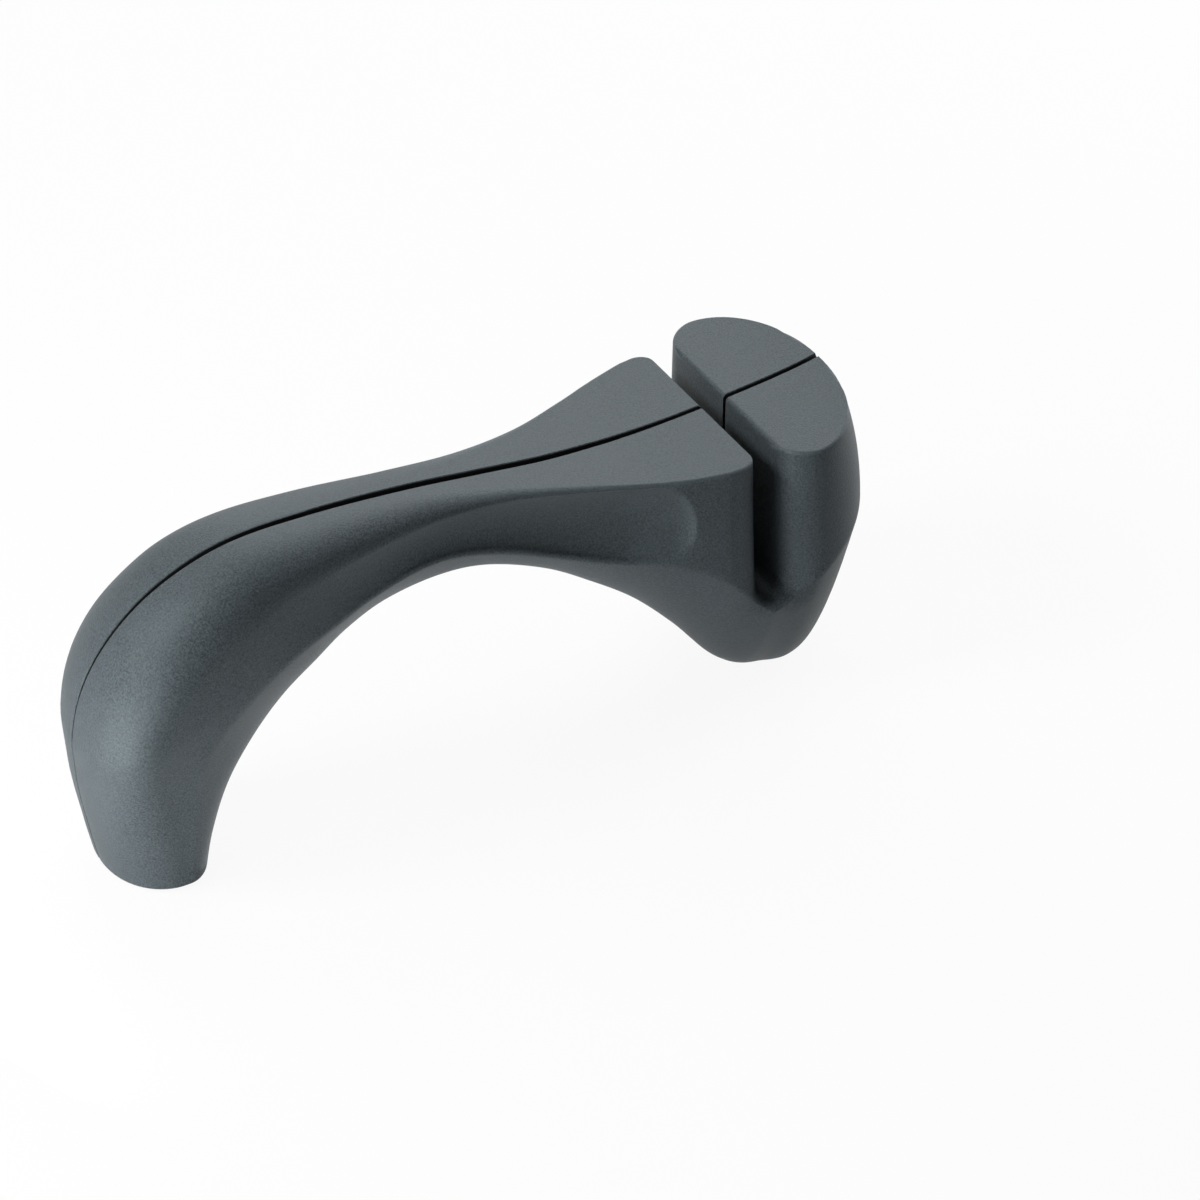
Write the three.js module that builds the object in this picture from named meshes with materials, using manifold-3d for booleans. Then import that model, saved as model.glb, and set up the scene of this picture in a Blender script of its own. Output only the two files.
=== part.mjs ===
// Arched hand-held knife sharpener: two moulded half shells, screwed together along the middle,
// around a cradle with two sets of interleaved ceramic wheels that cross under the knife slot.
// Millimetres, +X along the body from the plain leg to the nose, +Y to the rear shell, +Z up.
// The origin is on the table, under the middle of the body.
import * as THREE from 'three';
import { mergeVertices } from 'three/addons/utils/BufferGeometryUtils.js';
import Module from 'manifold-3d';

const wasm = await Module();
wasm.setup();

const { lerp, clamp, smoothstep, degToRad } = THREE.MathUtils;

// Main lines of the side view: the back of the plain leg, the hump, the arch and the knife slot
const BACK_X = -88.7;
const HUMP_Z = 69.9;
const ARCH_Z = 49.6;
const SLOT_X = 58.3;

// Top line of the head and nub, seen from the side
const SADDLE_X = 40;
const SADDLE_Z = 62.5;
const SADDLE_RADIUS = 213;
const TIP_X = SLOT_X + 25.4;
const TIP_Z = SADDLE_Z + 3.7;
const NOSE_X = SLOT_X + 30.4;
const NOSE_Z = 42;

// Half-widths of the head and nub, and the rounding of their corners beside the slot
const HEAD_START = SLOT_X - 9.3;
const HEAD_TOP = 23.2;
const HEAD_SKIRT = 26.6;
const HEAD_CORNER = 4.5;
const NUB_TOP = 26.6;
const NUB_SKIRT = 28.8;
const NUB_CENTRE_X = SLOT_X + 9.4;
const NUB_CORNER = 8;
const TOP_EDGE = 0.8;

// Sole of the leg under the nub, and the edge round the other leg's sole
const SOLE_Z = 0.5;
const SOLE_EDGE = 1;
const SOLE_START = SLOT_X + 1.7;
const SOLE_CENTRE = SLOT_X + 9.2;
const SOLE_END = SLOT_X + 20.2;
const SOLE_HALF = 13.4;
const LEG_FLARE = 1.6;

// Finger scoop in each side of the handle
const SCOOP_DEPTH = 2.6;
const SCOOP_START = -50;
const SCOOP_FADE = 45;
const SCOOP_END = 41.5;
const SCOOP_ROUND = 9;
const SCOOP_LIP = 6;

// Knife slot
const SLOT_WIDTH = 5.5;
const SLOT_FLOOR = 28;
const SLOT_WALL = 2;

// Shell walls, the tongue along the seam, and the seam's half-gap
const WALL = 2.4;
const SOLE_FLOOR = 6;
const TONGUE = 1;
const TONGUE_REACH = 1.3;
const TONGUE_ROOT = 1.5;
const TONGUE_BITE = 0.15;
const FIT = 0.3;
const SEAM_LEG = 0.2;
const SEAM_WAIST = 0.65;
const SEAM_HEAD = 0.5;

// Sharpening wheels, their axles and the cradle
const NOTCH_Z = 36;
const NOTCH_ANGLE = 18;
const WHEEL_THICKNESS = 1.8;
const WHEEL_GAP = 0.3;
const WHEEL_CHAMFER = 0.3;
const WHEEL_COUNT = 7;
const AXLE_RADIUS = 1.6;
const AXLE_CHAMFER = 0.3;
const RUNNING = 0.06;
const EAR_LAND = 1.2;
const EAR_RIM = 2;
const CHEEK = 2.5;
const CHEEK_GAP = 0.5;
const CRADLE_BASE = 3;
const SPACER_RIM = 1.8;
const SPACER_PLAY = 0.05;
const SHELF = 3;
const SHELF_HALF = 6;
const SHELF_REACH = 5;

// Shell screws and their bosses
const SCREW_RADIUS = 1.3;
const SCREW_LENGTH = 11;
const SCREW_POINT = 1.5;
const SCREW_PLAY = 0.06;
const HEAD_RADIUS = 2.6;
const HEAD_HEIGHT = 2;
const RECESS_WIDTH = 0.8;
const RECESS_DEPTH = 1.1;
const SEAT_Y = 3;
const BOSS_WALL = 1.6;
const NUB_BOSS = [SLOT_X + 19.2, 50];
const SOLE_BOSS = [SOLE_CENTRE, 10];

// Foot pads
const PAD_LENGTH = 13;
const PAD_WIDTH = 19;
const PAD_THICKNESS = 2.2;
const LEFT_PAD_X = BACK_X + 12.7;
const RIGHT_PAD_X = SOLE_CENTRE + 1;

const ROUND_SIDES = 24;
const SMALL_SIDES = 16;
const FAR = 200;
const SHORTEST_EDGE = 0.005;

const slotLeft = SLOT_X - SLOT_WIDTH / 2;
const slotRight = SLOT_X + SLOT_WIDTH / 2;
const axleOffset = SLOT_WIDTH / 2 + SLOT_WALL + FIT + EAR_LAND + AXLE_RADIUS + RUNNING;
const wheelRadius = axleOffset / Math.cos(degToRad(NOTCH_ANGLE));
const axleZ = NOTCH_Z - wheelRadius * Math.sin(degToRad(NOTCH_ANGLE));
const wheelPitch = WHEEL_THICKNESS + WHEEL_GAP;
const stackHalf = (WHEEL_COUNT * wheelPitch - WHEEL_GAP) / 2;
const cheekInner = stackHalf + CHEEK_GAP;
const cheekOuter = cheekInner + CHEEK;
const cradleTop = axleZ - wheelRadius - FIT;
const cradleBottom = cradleTop - CRADLE_BASE;

function topLine(x) {
  return SADDLE_Z + SADDLE_RADIUS - Math.sqrt(SADDLE_RADIUS ** 2 - (x - SADDLE_X) ** 2);
}

// Sections of the leg and the handle, from the sole to the head. Each stands on a spoke from the spine, on
// the top line, to the belly, on the underside. top, side and under are half-widths at the top edge, at the
// crease and at the belly. across and down round the top edge. crease is the crease's share of the spoke,
// sharp says how hard the surface turns there, and seam is half the width of the groove between the shells.
const SECTIONS = [
  section([BACK_X + 2.5, SOLE_Z + SOLE_EDGE], [BACK_X + 22.9, SOLE_Z + SOLE_EDGE],
    { top: 16.4, across: 16.4, down: 13, side: 16.6, crease: 0.7, sharp: 0, under: 6.5, seam: SEAM_LEG }),
  section([BACK_X + 1.3, 10], [BACK_X + 24.3, 10],
    { top: 16, across: 16, down: 13.5, side: 16, crease: 0.74, sharp: 0, under: 8, seam: SEAM_LEG }),
  section([BACK_X, 25], [BACK_X + 29.5, 21.5],
    { top: 16.8, across: 16.8, down: 12.5, side: 16.6, crease: 0.65, sharp: 0.05, under: 9, seam: SEAM_LEG }),
  section([BACK_X + 1.5, HUMP_Z - 27.9], [BACK_X + 35.8, ARCH_Z - 20.1],
    { top: 18, across: 18, down: 11, side: 17.4, crease: 0.62, sharp: 0.25, under: 9, seam: SEAM_LEG }),
  section([BACK_X + 8.3, HUMP_Z - 14.9], [BACK_X + 42.7, ARCH_Z - 13.8],
    { top: 18.4, across: 18.4, down: 11, side: 16.8, crease: 0.66, sharp: 0.45, under: 8.5, seam: 0.25 }),
  section([BACK_X + 20.3, HUMP_Z - 4.9], [BACK_X + 50.3, ARCH_Z - 8.8],
    { top: 16.8, across: 15.4, down: 11.5, side: 15.6, crease: 0.69, sharp: 0.6, under: 8, seam: 0.35 }),
  section([-52.4, HUMP_Z - 0.2], [-31.4, ARCH_Z - 4.6],
    { top: 14.4, across: 12.5, down: 9.5, side: 14, crease: 0.73, sharp: 0.7, under: 7.5, seam: 0.5 }),
  section([-34.4, HUMP_Z], [-22.4, ARCH_Z - 1.2],
    { top: 12, across: 9.5, down: 6.5, side: 12, crease: 0.72, sharp: 0.75, under: 7.3, seam: 0.6 }),
  section([-14.4, HUMP_Z - 1.7], [-10.4, ARCH_Z],
    { top: 9.6, across: 6, down: 3.5, side: 10.6, crease: 0.66, sharp: 0.75, under: 7.2, seam: SEAM_WAIST }),
  section([2.6, topLine(2.6)], [0.6, ARCH_Z - 1.7],
    { top: 9.4, across: 3, down: 1.8, side: 10.4, crease: 0.72, sharp: 0.7, under: 7.2, seam: SEAM_WAIST }),
  section([17.6, topLine(17.6)], [13.6, ARCH_Z - 7.5],
    { top: 12.3, across: 1.5, down: 1, side: 11.5, crease: 0.76, sharp: 0.65, under: 7.5, seam: 0.6 }),
  headSpoke(18.4, [25, 35], { top: 16.8, side: 14.5, crease: 0.7, sharp: 0.6, under: 8 }),
  headSpoke(11, [15, 27], { top: 19.6, side: 19, crease: 0.58, sharp: 0.5, under: 8.5 }),
  headSpoke(6, [6, 17.2], { top: 21.2, side: 22, crease: 0.515, sharp: 0.5, under: 9 }),
  headSpoke(0, [0, 9.4], { top: 22.7, side: 24.3, crease: 0.52, sharp: 0.5, under: 9.5 }),
];
const [, , legSection, , , humpSection] = SECTIONS;
const [handleEndSection] = SECTIONS.slice(-4);
const headSection = SECTIONS.at(-1);

function section(spine, belly, shape) {
  return { sx: spine[0], sz: spine[1], bx: belly[0], bz: belly[1], ...shape };
}

// Section that runs into the head, at a distance before its start, with the head's crisp top edge
function headSpoke(before, [bellyBefore, bellyZ], shape) {
  const x = HEAD_START - before;
  const edge = { across: TOP_EDGE, down: TOP_EDGE, seam: SEAM_HEAD };
  return section([x, topLine(x)], [HEAD_START - bellyBefore, bellyZ], { ...shape, ...edge });
}

// Solid helpers
function toSolid(geometry) {
  const plain = geometry.index ? geometry.toNonIndexed() : geometry.clone();
  plain.deleteAttribute('normal');
  plain.deleteAttribute('uv');
  const merged = mergeVertices(plain, 1e-4);
  return new wasm.Manifold(new wasm.Mesh({
    numProp: 3,
    vertProperties: new Float32Array(merged.attributes.position.array),
    triVerts: new Uint32Array(merged.index.array),
  }));
}

function toGeometry(solid) {
  const mesh = solid.simplify(SHORTEST_EDGE).getMesh();
  const geometry = new THREE.BufferGeometry();
  geometry.setAttribute('position', new THREE.BufferAttribute(new Float32Array(mesh.vertProperties), 3));
  geometry.setIndex(new THREE.BufferAttribute(new Uint32Array(mesh.triVerts), 1));
  return geometry;
}

function box(low, high) {
  const geometry = new THREE.BoxGeometry(high[0] - low[0], high[1] - low[1], high[2] - low[2]);
  geometry.translate((low[0] + high[0]) / 2, (low[1] + high[1]) / 2, (low[2] + high[2]) / 2);
  return toSolid(geometry);
}

function above(z) {
  return box([-FAR, -FAR, z], [FAR, FAR, FAR]);
}

function crossRod(radius, x, z, yFrom, yTo, sides) {
  const geometry = new THREE.CylinderGeometry(radius, radius, yTo - yFrom, sides);
  geometry.translate(x, (yFrom + yTo) / 2, z);
  return toSolid(geometry);
}

function turned(profile, sides) {
  return new THREE.LatheGeometry(profile.map(([r, y]) => new THREE.Vector2(r, y)), sides);
}

// Outlines of the head, the nub and the leg under them, shrunk by an inset
function cornerCut(distance, radius) {
  const depth = radius - clamp(distance, 0, radius);
  return radius - Math.sqrt(radius ** 2 - depth ** 2);
}

function creaseLine(x) {
  if (x < SLOT_X) {
    const headCrease = lerp(headSection.sz, headSection.bz, headSection.crease);
    return lerp(SLOT_FLOOR, headCrease, ((SLOT_X - x) / (SLOT_X - HEAD_START)) ** 1.2);
  }
  const reach = (x - SLOT_X) / (NOSE_X - SLOT_X);
  return lerp(SLOT_FLOOR, NOSE_Z, Math.sin((reach * Math.PI) / 2));
}

function bellyLine(x, inset) {
  if (x <= SOLE_START) {
    const rise = ((SOLE_START - x) / (SOLE_START - HEAD_START)) ** 1.5;
    return lerp(SOLE_Z, headSection.bz, rise) + inset;
  }
  const end = SOLE_END - inset;
  const reach = clamp((x - end) / (NOSE_X - inset - end), 0, 1);
  const drop = (1 - reach ** LEG_FLARE) ** (1 / LEG_FLARE);
  return lerp(NOSE_Z, SOLE_Z + inset, drop);
}

function upperLine(x, inset) {
  const tip = TIP_X - inset;
  if (x <= tip) {
    return topLine(x) + (TIP_Z - topLine(TIP_X)) * smoothstep(x, SLOT_X, TIP_X) - inset;
  }
  const reach = (x - tip) / (NOSE_X - TIP_X);
  return lerp(NOSE_Z, TIP_Z - inset, Math.sqrt(clamp(1 - reach, 0, 1)));
}

function soleHalfWidth(x) {
  if (x <= SOLE_CENTRE) {
    return lerp(headSection.under, SOLE_HALF, smoothstep(x, HEAD_START, SOLE_CENTRE));
  }
  const reach = clamp((x - SOLE_CENTRE) / (SOLE_END - SOLE_CENTRE), 0, 1);
  return SOLE_HALF * Math.sqrt(1 - reach ** 2);
}

function headHalfWidth(x, share) {
  const top = lerp(headSection.top, HEAD_TOP, smoothstep(x, HEAD_START, slotLeft - HEAD_CORNER));
  const skirt = lerp(headSection.side, HEAD_SKIRT, clamp((x - HEAD_START) / (SLOT_X - HEAD_START), 0, 1));
  const cut = cornerCut(slotLeft - x, HEAD_CORNER);
  return lerp(top, skirt, share ** 1.25) - cut * (1 - smoothstep(share, 0.8, 1));
}

function nubHalfWidth(x, z, share, inset) {
  const fall = clamp((TIP_Z - inset - z) / (TIP_Z - inset - creaseLine(x)), 0, 1);
  const length = lerp(TIP_X, NOSE_X, 1 - (1 - fall) ** 2) - inset - NUB_CENTRE_X;
  const skirt = lerp(HEAD_SKIRT, NUB_SKIRT, smoothstep(x, SLOT_X, NUB_CENTRE_X));
  const reach = clamp((x - NUB_CENTRE_X) / length, 0, 1);
  const cut = cornerCut(x - slotRight, NUB_CORNER);
  const round = Math.sqrt(1 - reach ** 2);
  return (lerp(NUB_TOP, skirt, fall) - inset) * round - cut * (1 - smoothstep(share, 0.8, 1));
}

// Section of the head or the nub at one place along X
function blockSection(x, inset) {
  const sz = upperLine(x, inset);
  const bz = bellyLine(x, inset);
  const crease = creaseLine(x);
  const width = (z) => {
    const share = clamp((sz - z) / (sz - crease), 0, 1);
    return x < SLOT_X ? headHalfWidth(x, share) - inset : nubHalfWidth(x, z, share, inset);
  };
  const edge = Math.min(TOP_EDGE, width(sz - TOP_EDGE) / 2, (sz - crease) / 3);
  return {
    sx: x,
    sz,
    bx: x,
    bz,
    top: width(sz - edge),
    across: edge,
    down: edge,
    side: width(crease),
    crease: (sz - crease) / (sz - bz),
    sharp: 0.5,
    under: Math.min(Math.max(soleHalfWidth(x) - inset, 0), width(crease)),
    seam: SEAM_HEAD,
    width,
  };
}

// Leg and handle sections in between the given ones, by a smooth curve through each value
function smoothBetween(a, b, c, d, t) {
  return b + (t / 2) * (c - a + t * (2 * a - 5 * b + 4 * c - d + t * (3 * (b - c) + d - a)));
}

function insetSection(row, inset) {
  const length = Math.hypot(row.bx - row.sx, row.bz - row.sz);
  const stepX = ((row.bx - row.sx) / length) * inset;
  const stepZ = ((row.bz - row.sz) / length) * inset;
  return {
    ...row,
    sx: row.sx + stepX,
    sz: row.sz + stepZ,
    bx: row.bx - stepX,
    bz: row.bz - stepZ,
    top: row.top - inset,
    side: row.side - inset,
    under: row.under - inset,
    across: Math.max(row.across - inset, TOP_EDGE / 2),
    down: Math.max(row.down - inset, TOP_EDGE / 2),
    crease: (row.crease * length - inset) / (length - 2 * inset),
  };
}

function legAndHandle(steps, inset) {
  const rows = [];
  const last = SECTIONS.length - 1;
  for (let i = 0; i < last; i += 1) {
    const [a, b, c, d] = [i - 1, i, i + 1, i + 2].map((n) => SECTIONS[clamp(n, 0, last)]);
    for (let step = 0; step < steps; step += 1) {
      const row = {};
      for (const name of Object.keys(b)) {
        row[name] = smoothBetween(a[name], b[name], c[name], d[name], step / steps);
      }
      rows.push(inset > 0 ? insetSection(row, inset) : row);
    }
  }
  return rows;
}

function soleEdge(row, turn) {
  const inset = SOLE_EDGE * (1 - Math.sin(turn));
  const z = SOLE_Z + SOLE_EDGE * (1 - Math.cos(turn));
  return {
    ...row,
    sx: row.sx + inset,
    bx: row.bx - inset,
    sz: z,
    bz: z,
    top: row.top - inset,
    side: row.side - inset,
    across: row.across - inset,
  };
}

function blockPlaces(inset, fine) {
  const places = [HEAD_START];
  const corner = fine ? [0, 30, 55, 75, 90] : [0, 90];
  corner.forEach((angle) => places.push(slotLeft - HEAD_CORNER * (1 - Math.sin(degToRad(angle)))));
  places.push(SLOT_X);
  corner.forEach((angle) => places.push(slotRight + NUB_CORNER * (1 - Math.cos(degToRad(angle)))));
  const nub = fine ? [20, 36, 50, 62, 72, 81, 90] : [25, 48, 66, 80];
  nub.forEach((angle) => places.push(lerp(NUB_CENTRE_X, TIP_X - inset, Math.sin(degToRad(angle)))));
  const nose = fine ? [25, 45, 62, 77] : [40, 70];
  nose.forEach((angle) => places.push(lerp(TIP_X, NOSE_X, Math.sin(degToRad(angle))) - inset));
  return places;
}

function casingRows(inset, fine) {
  const rows = legAndHandle(fine ? 3 : 2, inset);
  const block = blockPlaces(inset, fine).map((x) => blockSection(x, inset));
  return rows.concat(block);
}

// Depth of the finger scoop at a place along the handle and a share of the side's height
function scoopDepth(x, share) {
  const end = SCOOP_END - SCOOP_ROUND * (1 - Math.sqrt(1 - (2 * share - 1) ** 2));
  const fade = smoothstep(end - x, 0, SCOOP_LIP) * smoothstep(x, SCOOP_START, SCOOP_START + SCOOP_FADE);
  return SCOOP_DEPTH * Math.sin(Math.PI * share) ** 0.8 * fade;
}

// Points of one half section, from the seam on top, round the side, to the seam underneath
function ring(row, steps, seam) {
  const length = Math.hypot(row.bx - row.sx, row.bz - row.sz);
  const across = Math.min(row.across, row.top);
  const flat = row.top - across;
  const points = [[0, seam], [0, Math.max(flat, seam)]];
  for (let i = 1; i <= steps.edge; i += 1) {
    const turn = (Math.PI / 2) * (i / steps.edge);
    points.push([row.down * (1 - Math.cos(turn)), flat + across * Math.sin(turn)]);
  }
  const creaseAt = row.crease * length;
  for (let i = 1; i <= steps.side; i += 1) {
    const share = i / steps.side;
    const along = lerp(row.down, creaseAt, share);
    const width = row.width ? row.width(row.sz - along) : lerp(row.top, row.side, share);
    points.push([along, width - scoopDepth(lerp(row.sx, row.bx, along / length), share)]);
  }
  for (let i = 1; i <= steps.lower; i += 1) {
    const share = Math.sin((Math.PI / 2) * (i / steps.lower));
    const swell = row.sharp * (1 - share) + (1 - row.sharp) * Math.sqrt(1 - share ** 2);
    points.push([lerp(creaseAt, length, share), lerp(row.under, row.side, swell)]);
  }
  points.push([length, seam]);
  return points.map(([along, y]) => {
    const share = along / length;
    return [lerp(row.sx, row.bx, share), Math.max(y, seam), lerp(row.sz, row.bz, share)];
  });
}

// Closed solid through the rings, with a flat first end and a pointed last one
function loft(rings, apex, side) {
  const count = rings[0].length;
  const faces = [];
  for (let i = 0; i + 1 < rings.length; i += 1) {
    for (let j = 0; j < count; j += 1) {
      const a = i * count + j;
      const b = i * count + ((j + 1) % count);
      faces.push([a, b, b + count], [a, b + count, a + count]);
    }
  }
  const last = (rings.length - 1) * count;
  for (let j = 0; j < count; j += 1) {
    faces.push([last + j, last + ((j + 1) % count), rings.length * count]);
  }
  for (let j = 1; j + 1 < count; j += 1) {
    faces.push([0, j + 1, j]);
  }
  const points = [...rings.flat(), apex].map(([x, y, z]) => [x, side * y, z]);
  const geometry = new THREE.BufferGeometry();
  geometry.setAttribute('position', new THREE.Float32BufferAttribute(points.flat(), 3));
  geometry.setIndex(faces.flatMap(([a, b, c]) => (side < 0 ? [a, b, c] : [a, c, b])));
  return toSolid(geometry);
}

// Half of the casing as one full solid: side is -1 for the front half and 1 for the rear half
function halfCasing(side) {
  const rows = casingRows(0, true);
  const edge = [0, 30, 60].map((angle) => soleEdge(rows[0], degToRad(angle)));
  const rings = [...edge, ...rows].map((row) => ring(row, { edge: 4, side: 6, lower: 4 }, row.seam));
  return loft(rings, [NOSE_X, SEAM_HEAD, NOSE_Z], side);
}

// Space inside one half, reaching a little across the seam
function halfCavity(side) {
  const across = -2 * TONGUE_REACH;
  const rings = casingRows(WALL, false).map((row) => ring(row, { edge: 2, side: 4, lower: 3 }, across));
  const space = loft(rings, [NOSE_X - WALL, across, NOSE_Z], side);
  return space.intersect(above(SOLE_FLOOR));
}

// Plate with the side view's outline, shrunk by an inset
function outlinePlate(inset, yFrom, yTo) {
  const rows = casingRows(inset, true);
  const shape = new THREE.Shape();
  shape.moveTo(rows[0].sx, rows[0].sz);
  rows.slice(1).forEach((row) => shape.lineTo(row.sx, row.sz));
  shape.lineTo(NOSE_X - inset, NOSE_Z);
  rows.toReversed().forEach((row) => shape.lineTo(row.bx, row.bz));
  shape.closePath();
  const geometry = new THREE.ExtrudeGeometry(shape, { depth: yTo - yFrom, bevelEnabled: false });
  geometry.rotateX(Math.PI / 2);
  geometry.translate(0, yTo, 0);
  return toSolid(geometry);
}

// Tongue of the front shell, from sole to sole and broken by the slot, or the rebate that it enters when a
// fit is given. It closes the seam right across the sole floors, over the pads.
function seamTongue(fit) {
  const inner = WALL - TONGUE_BITE;
  const plate = outlinePlate(inner - TONGUE - fit, -TONGUE_ROOT, TONGUE_REACH + fit);
  const inside = above(SOLE_FLOOR - TONGUE_BITE + fit).intersect(outlinePlate(inner + fit, -FAR, FAR));
  const band = plate.subtract(inside).intersect(above(PAD_THICKNESS + 2 * FIT - fit));
  return band.subtract(slotCut(SLOT_WALL + FIT - fit));
}

function slotCut(margin) {
  const half = SLOT_WIDTH / 2 + margin;
  return box([SLOT_X - half, -FAR, SLOT_FLOOR - margin], [SLOT_X + half, FAR, FAR]);
}

function wheelWindow() {
  const reach = axleOffset + wheelRadius + FIT;
  const half = stackHalf + FIT;
  return box([SLOT_X - reach, -half, cradleTop], [SLOT_X + reach, half, axleZ + wheelRadius + FIT]);
}

// Screw places: on spokes of the leg, the hump and the handle's end, in the nub and over the sole
function midSpoke(row) {
  return [(row.sx + row.bx) / 2, (row.sz + row.bz) / 2];
}

const screwPlaces = [
  midSpoke(legSection),
  midSpoke(humpSection),
  midSpoke(handleEndSection),
  NUB_BOSS,
  SOLE_BOSS,
];

// Rib in each shell that the cradle stands on and is held by at its sides
function cradleRib(side) {
  const top = cradleBottom - FIT;
  const shelf = box([SLOT_X - SHELF_HALF, SHELF_REACH, top - SHELF], [SLOT_X + SHELF_HALF, FAR, top]);
  const stop = box([slotLeft, cheekOuter + FIT, top - SHELF], [slotRight, FAR, SLOT_FLOOR - SLOT_WALL / 2]);
  const rib = shelf.add(stop);
  return side < 0 ? rib.mirror([0, 1, 0]) : rib;
}

function padOutline(grow) {
  const shape = new THREE.Shape();
  shape.absellipse(0, 0, PAD_LENGTH / 2 + grow, PAD_WIDTH / 2 + grow, 0, 2 * Math.PI);
  return shape;
}

function padSolid(x, grow) {
  const options = { depth: PAD_THICKNESS + grow, bevelEnabled: false, curveSegments: ROUND_SIDES / 2 };
  const geometry = new THREE.ExtrudeGeometry(padOutline(grow), options);
  geometry.translate(x, 0, 0);
  return toSolid(geometry);
}

function padRecess(x) {
  return padSolid(x, FIT).translate([0, 0, -FIT]).add(padSolid(x, FIT));
}

// Half shell with its hollow: bosses of the given radius stand in it at the screws, beside the cradle's rib
function hollowShell(side, bossRadius) {
  let hollow = halfCavity(side).subtract(slotCut(SLOT_WALL)).subtract(cradleRib(side));
  screwPlaces.forEach(([x, z]) => {
    hollow = hollow.subtract(crossRod(bossRadius, x, z, -FAR, FAR, SMALL_SIDES));
  });
  return halfCasing(side).subtract(hollow);
}

function frontShell() {
  const pilotRadius = SCREW_RADIUS + SCREW_PLAY;
  const pilotEnd = SEAT_Y - SCREW_LENGTH - FIT;
  let shell = hollowShell(-1, pilotRadius + BOSS_WALL).add(seamTongue(0));
  screwPlaces.forEach(([x, z]) => {
    shell = shell.subtract(crossRod(pilotRadius, x, z, pilotEnd, FAR, SMALL_SIDES));
  });
  return shell;
}

function rearShell() {
  const sinkRadius = HEAD_RADIUS + FIT;
  let shell = hollowShell(1, sinkRadius + BOSS_WALL).subtract(seamTongue(FIT));
  screwPlaces.forEach(([x, z]) => {
    shell = shell.subtract(crossRod(SCREW_RADIUS + FIT, x, z, -FAR, FAR, SMALL_SIDES));
    shell = shell.subtract(crossRod(sinkRadius, x, z, SEAT_Y, FAR, SMALL_SIDES));
  });
  return shell;
}

function finishShell(shell) {
  return shell.subtract(slotCut(0)).subtract(wheelWindow()).subtract(padRecess(LEFT_PAD_X))
    .subtract(padRecess(RIGHT_PAD_X));
}

// Cradle: a base under the wheels with two cheeks, each with two ears that stand beside the slot
function cradle() {
  const reach = axleOffset + AXLE_RADIUS + EAR_RIM;
  const earTop = axleZ + AXLE_RADIUS + EAR_RIM;
  const block = box([SLOT_X - reach, -cheekOuter, cradleBottom], [SLOT_X + reach, cheekOuter, earTop]);
  const inside = box([-FAR, -cheekInner, cradleTop], [FAR, cheekInner, FAR]);
  let solid = block.subtract(inside).subtract(slotCut(SLOT_WALL + FIT));
  [-1, 1].forEach((side) => {
    const hole = crossRod(AXLE_RADIUS + RUNNING, SLOT_X + side * axleOffset, axleZ, -FAR, FAR, ROUND_SIDES);
    solid = solid.subtract(hole);
  });
  return solid;
}

function axleGeometry() {
  const half = cheekOuter - RUNNING;
  const profile = [
    [0, -half],
    [AXLE_RADIUS - AXLE_CHAMFER, -half],
    [AXLE_RADIUS, -half + AXLE_CHAMFER],
    [AXLE_RADIUS, half - AXLE_CHAMFER],
    [AXLE_RADIUS - AXLE_CHAMFER, half],
    [0, half],
  ];
  return turned(profile, ROUND_SIDES);
}

function wheelGeometry() {
  const half = WHEEL_THICKNESS / 2;
  const bore = AXLE_RADIUS + RUNNING;
  const profile = [
    [bore, -half],
    [wheelRadius - WHEEL_CHAMFER, -half],
    [wheelRadius, -half + WHEEL_CHAMFER],
    [wheelRadius, half - WHEEL_CHAMFER],
    [wheelRadius - WHEEL_CHAMFER, half],
    [bore, half],
    [bore, -half],
  ];
  return turned(profile, ROUND_SIDES);
}

function spacerGeometry() {
  const half = wheelPitch - WHEEL_THICKNESS / 2 - SPACER_PLAY;
  const bore = AXLE_RADIUS + RUNNING;
  const outer = bore + SPACER_RIM;
  return turned([[bore, -half], [outer, -half], [outer, half], [bore, half], [bore, -half]], ROUND_SIDES);
}

function screwGeometry() {
  const profile = [
    [0, SEAT_Y - SCREW_LENGTH],
    [SCREW_RADIUS, SEAT_Y - SCREW_LENGTH + SCREW_POINT],
    [SCREW_RADIUS, SEAT_Y],
    [HEAD_RADIUS, SEAT_Y],
    [HEAD_RADIUS, SEAT_Y + HEAD_HEIGHT / 2],
    [HEAD_RADIUS * 0.7, SEAT_Y + HEAD_HEIGHT],
    [0, SEAT_Y + HEAD_HEIGHT],
  ];
  const top = SEAT_Y + HEAD_HEIGHT;
  const arm = HEAD_RADIUS * 0.6;
  const half = RECESS_WIDTH / 2;
  const across = box([-arm, top - RECESS_DEPTH, -half], [arm, FAR, half]);
  const upright = box([-half, top - RECESS_DEPTH, -arm], [half, FAR, arm]);
  return toGeometry(toSolid(turned(profile, SMALL_SIDES)).subtract(across.add(upright)));
}

// Materials
const shellGrey = () => new THREE.MeshStandardMaterial({ color: 0x646d72, roughness: 0.55 });
const cradleBlack = () => new THREE.MeshStandardMaterial({ color: 0x1b1d1f, roughness: 0.6 });
const axleSteel = () => new THREE.MeshStandardMaterial({ color: 0xb9bcbf, roughness: 0.3, metalness: 1 });
const wheelCeramic = () => new THREE.MeshStandardMaterial({ color: 0xe4e0d6, roughness: 0.75 });
const padRubber = () => new THREE.MeshStandardMaterial({ color: 0x17181a, roughness: 0.9 });

const sharpener = new THREE.Group();

function place(name, geometry, material, position = [0, 0, 0]) {
  const mesh = new THREE.Mesh(geometry, material);
  mesh.name = name;
  mesh.position.set(...position);
  sharpener.add(mesh);
}

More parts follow.
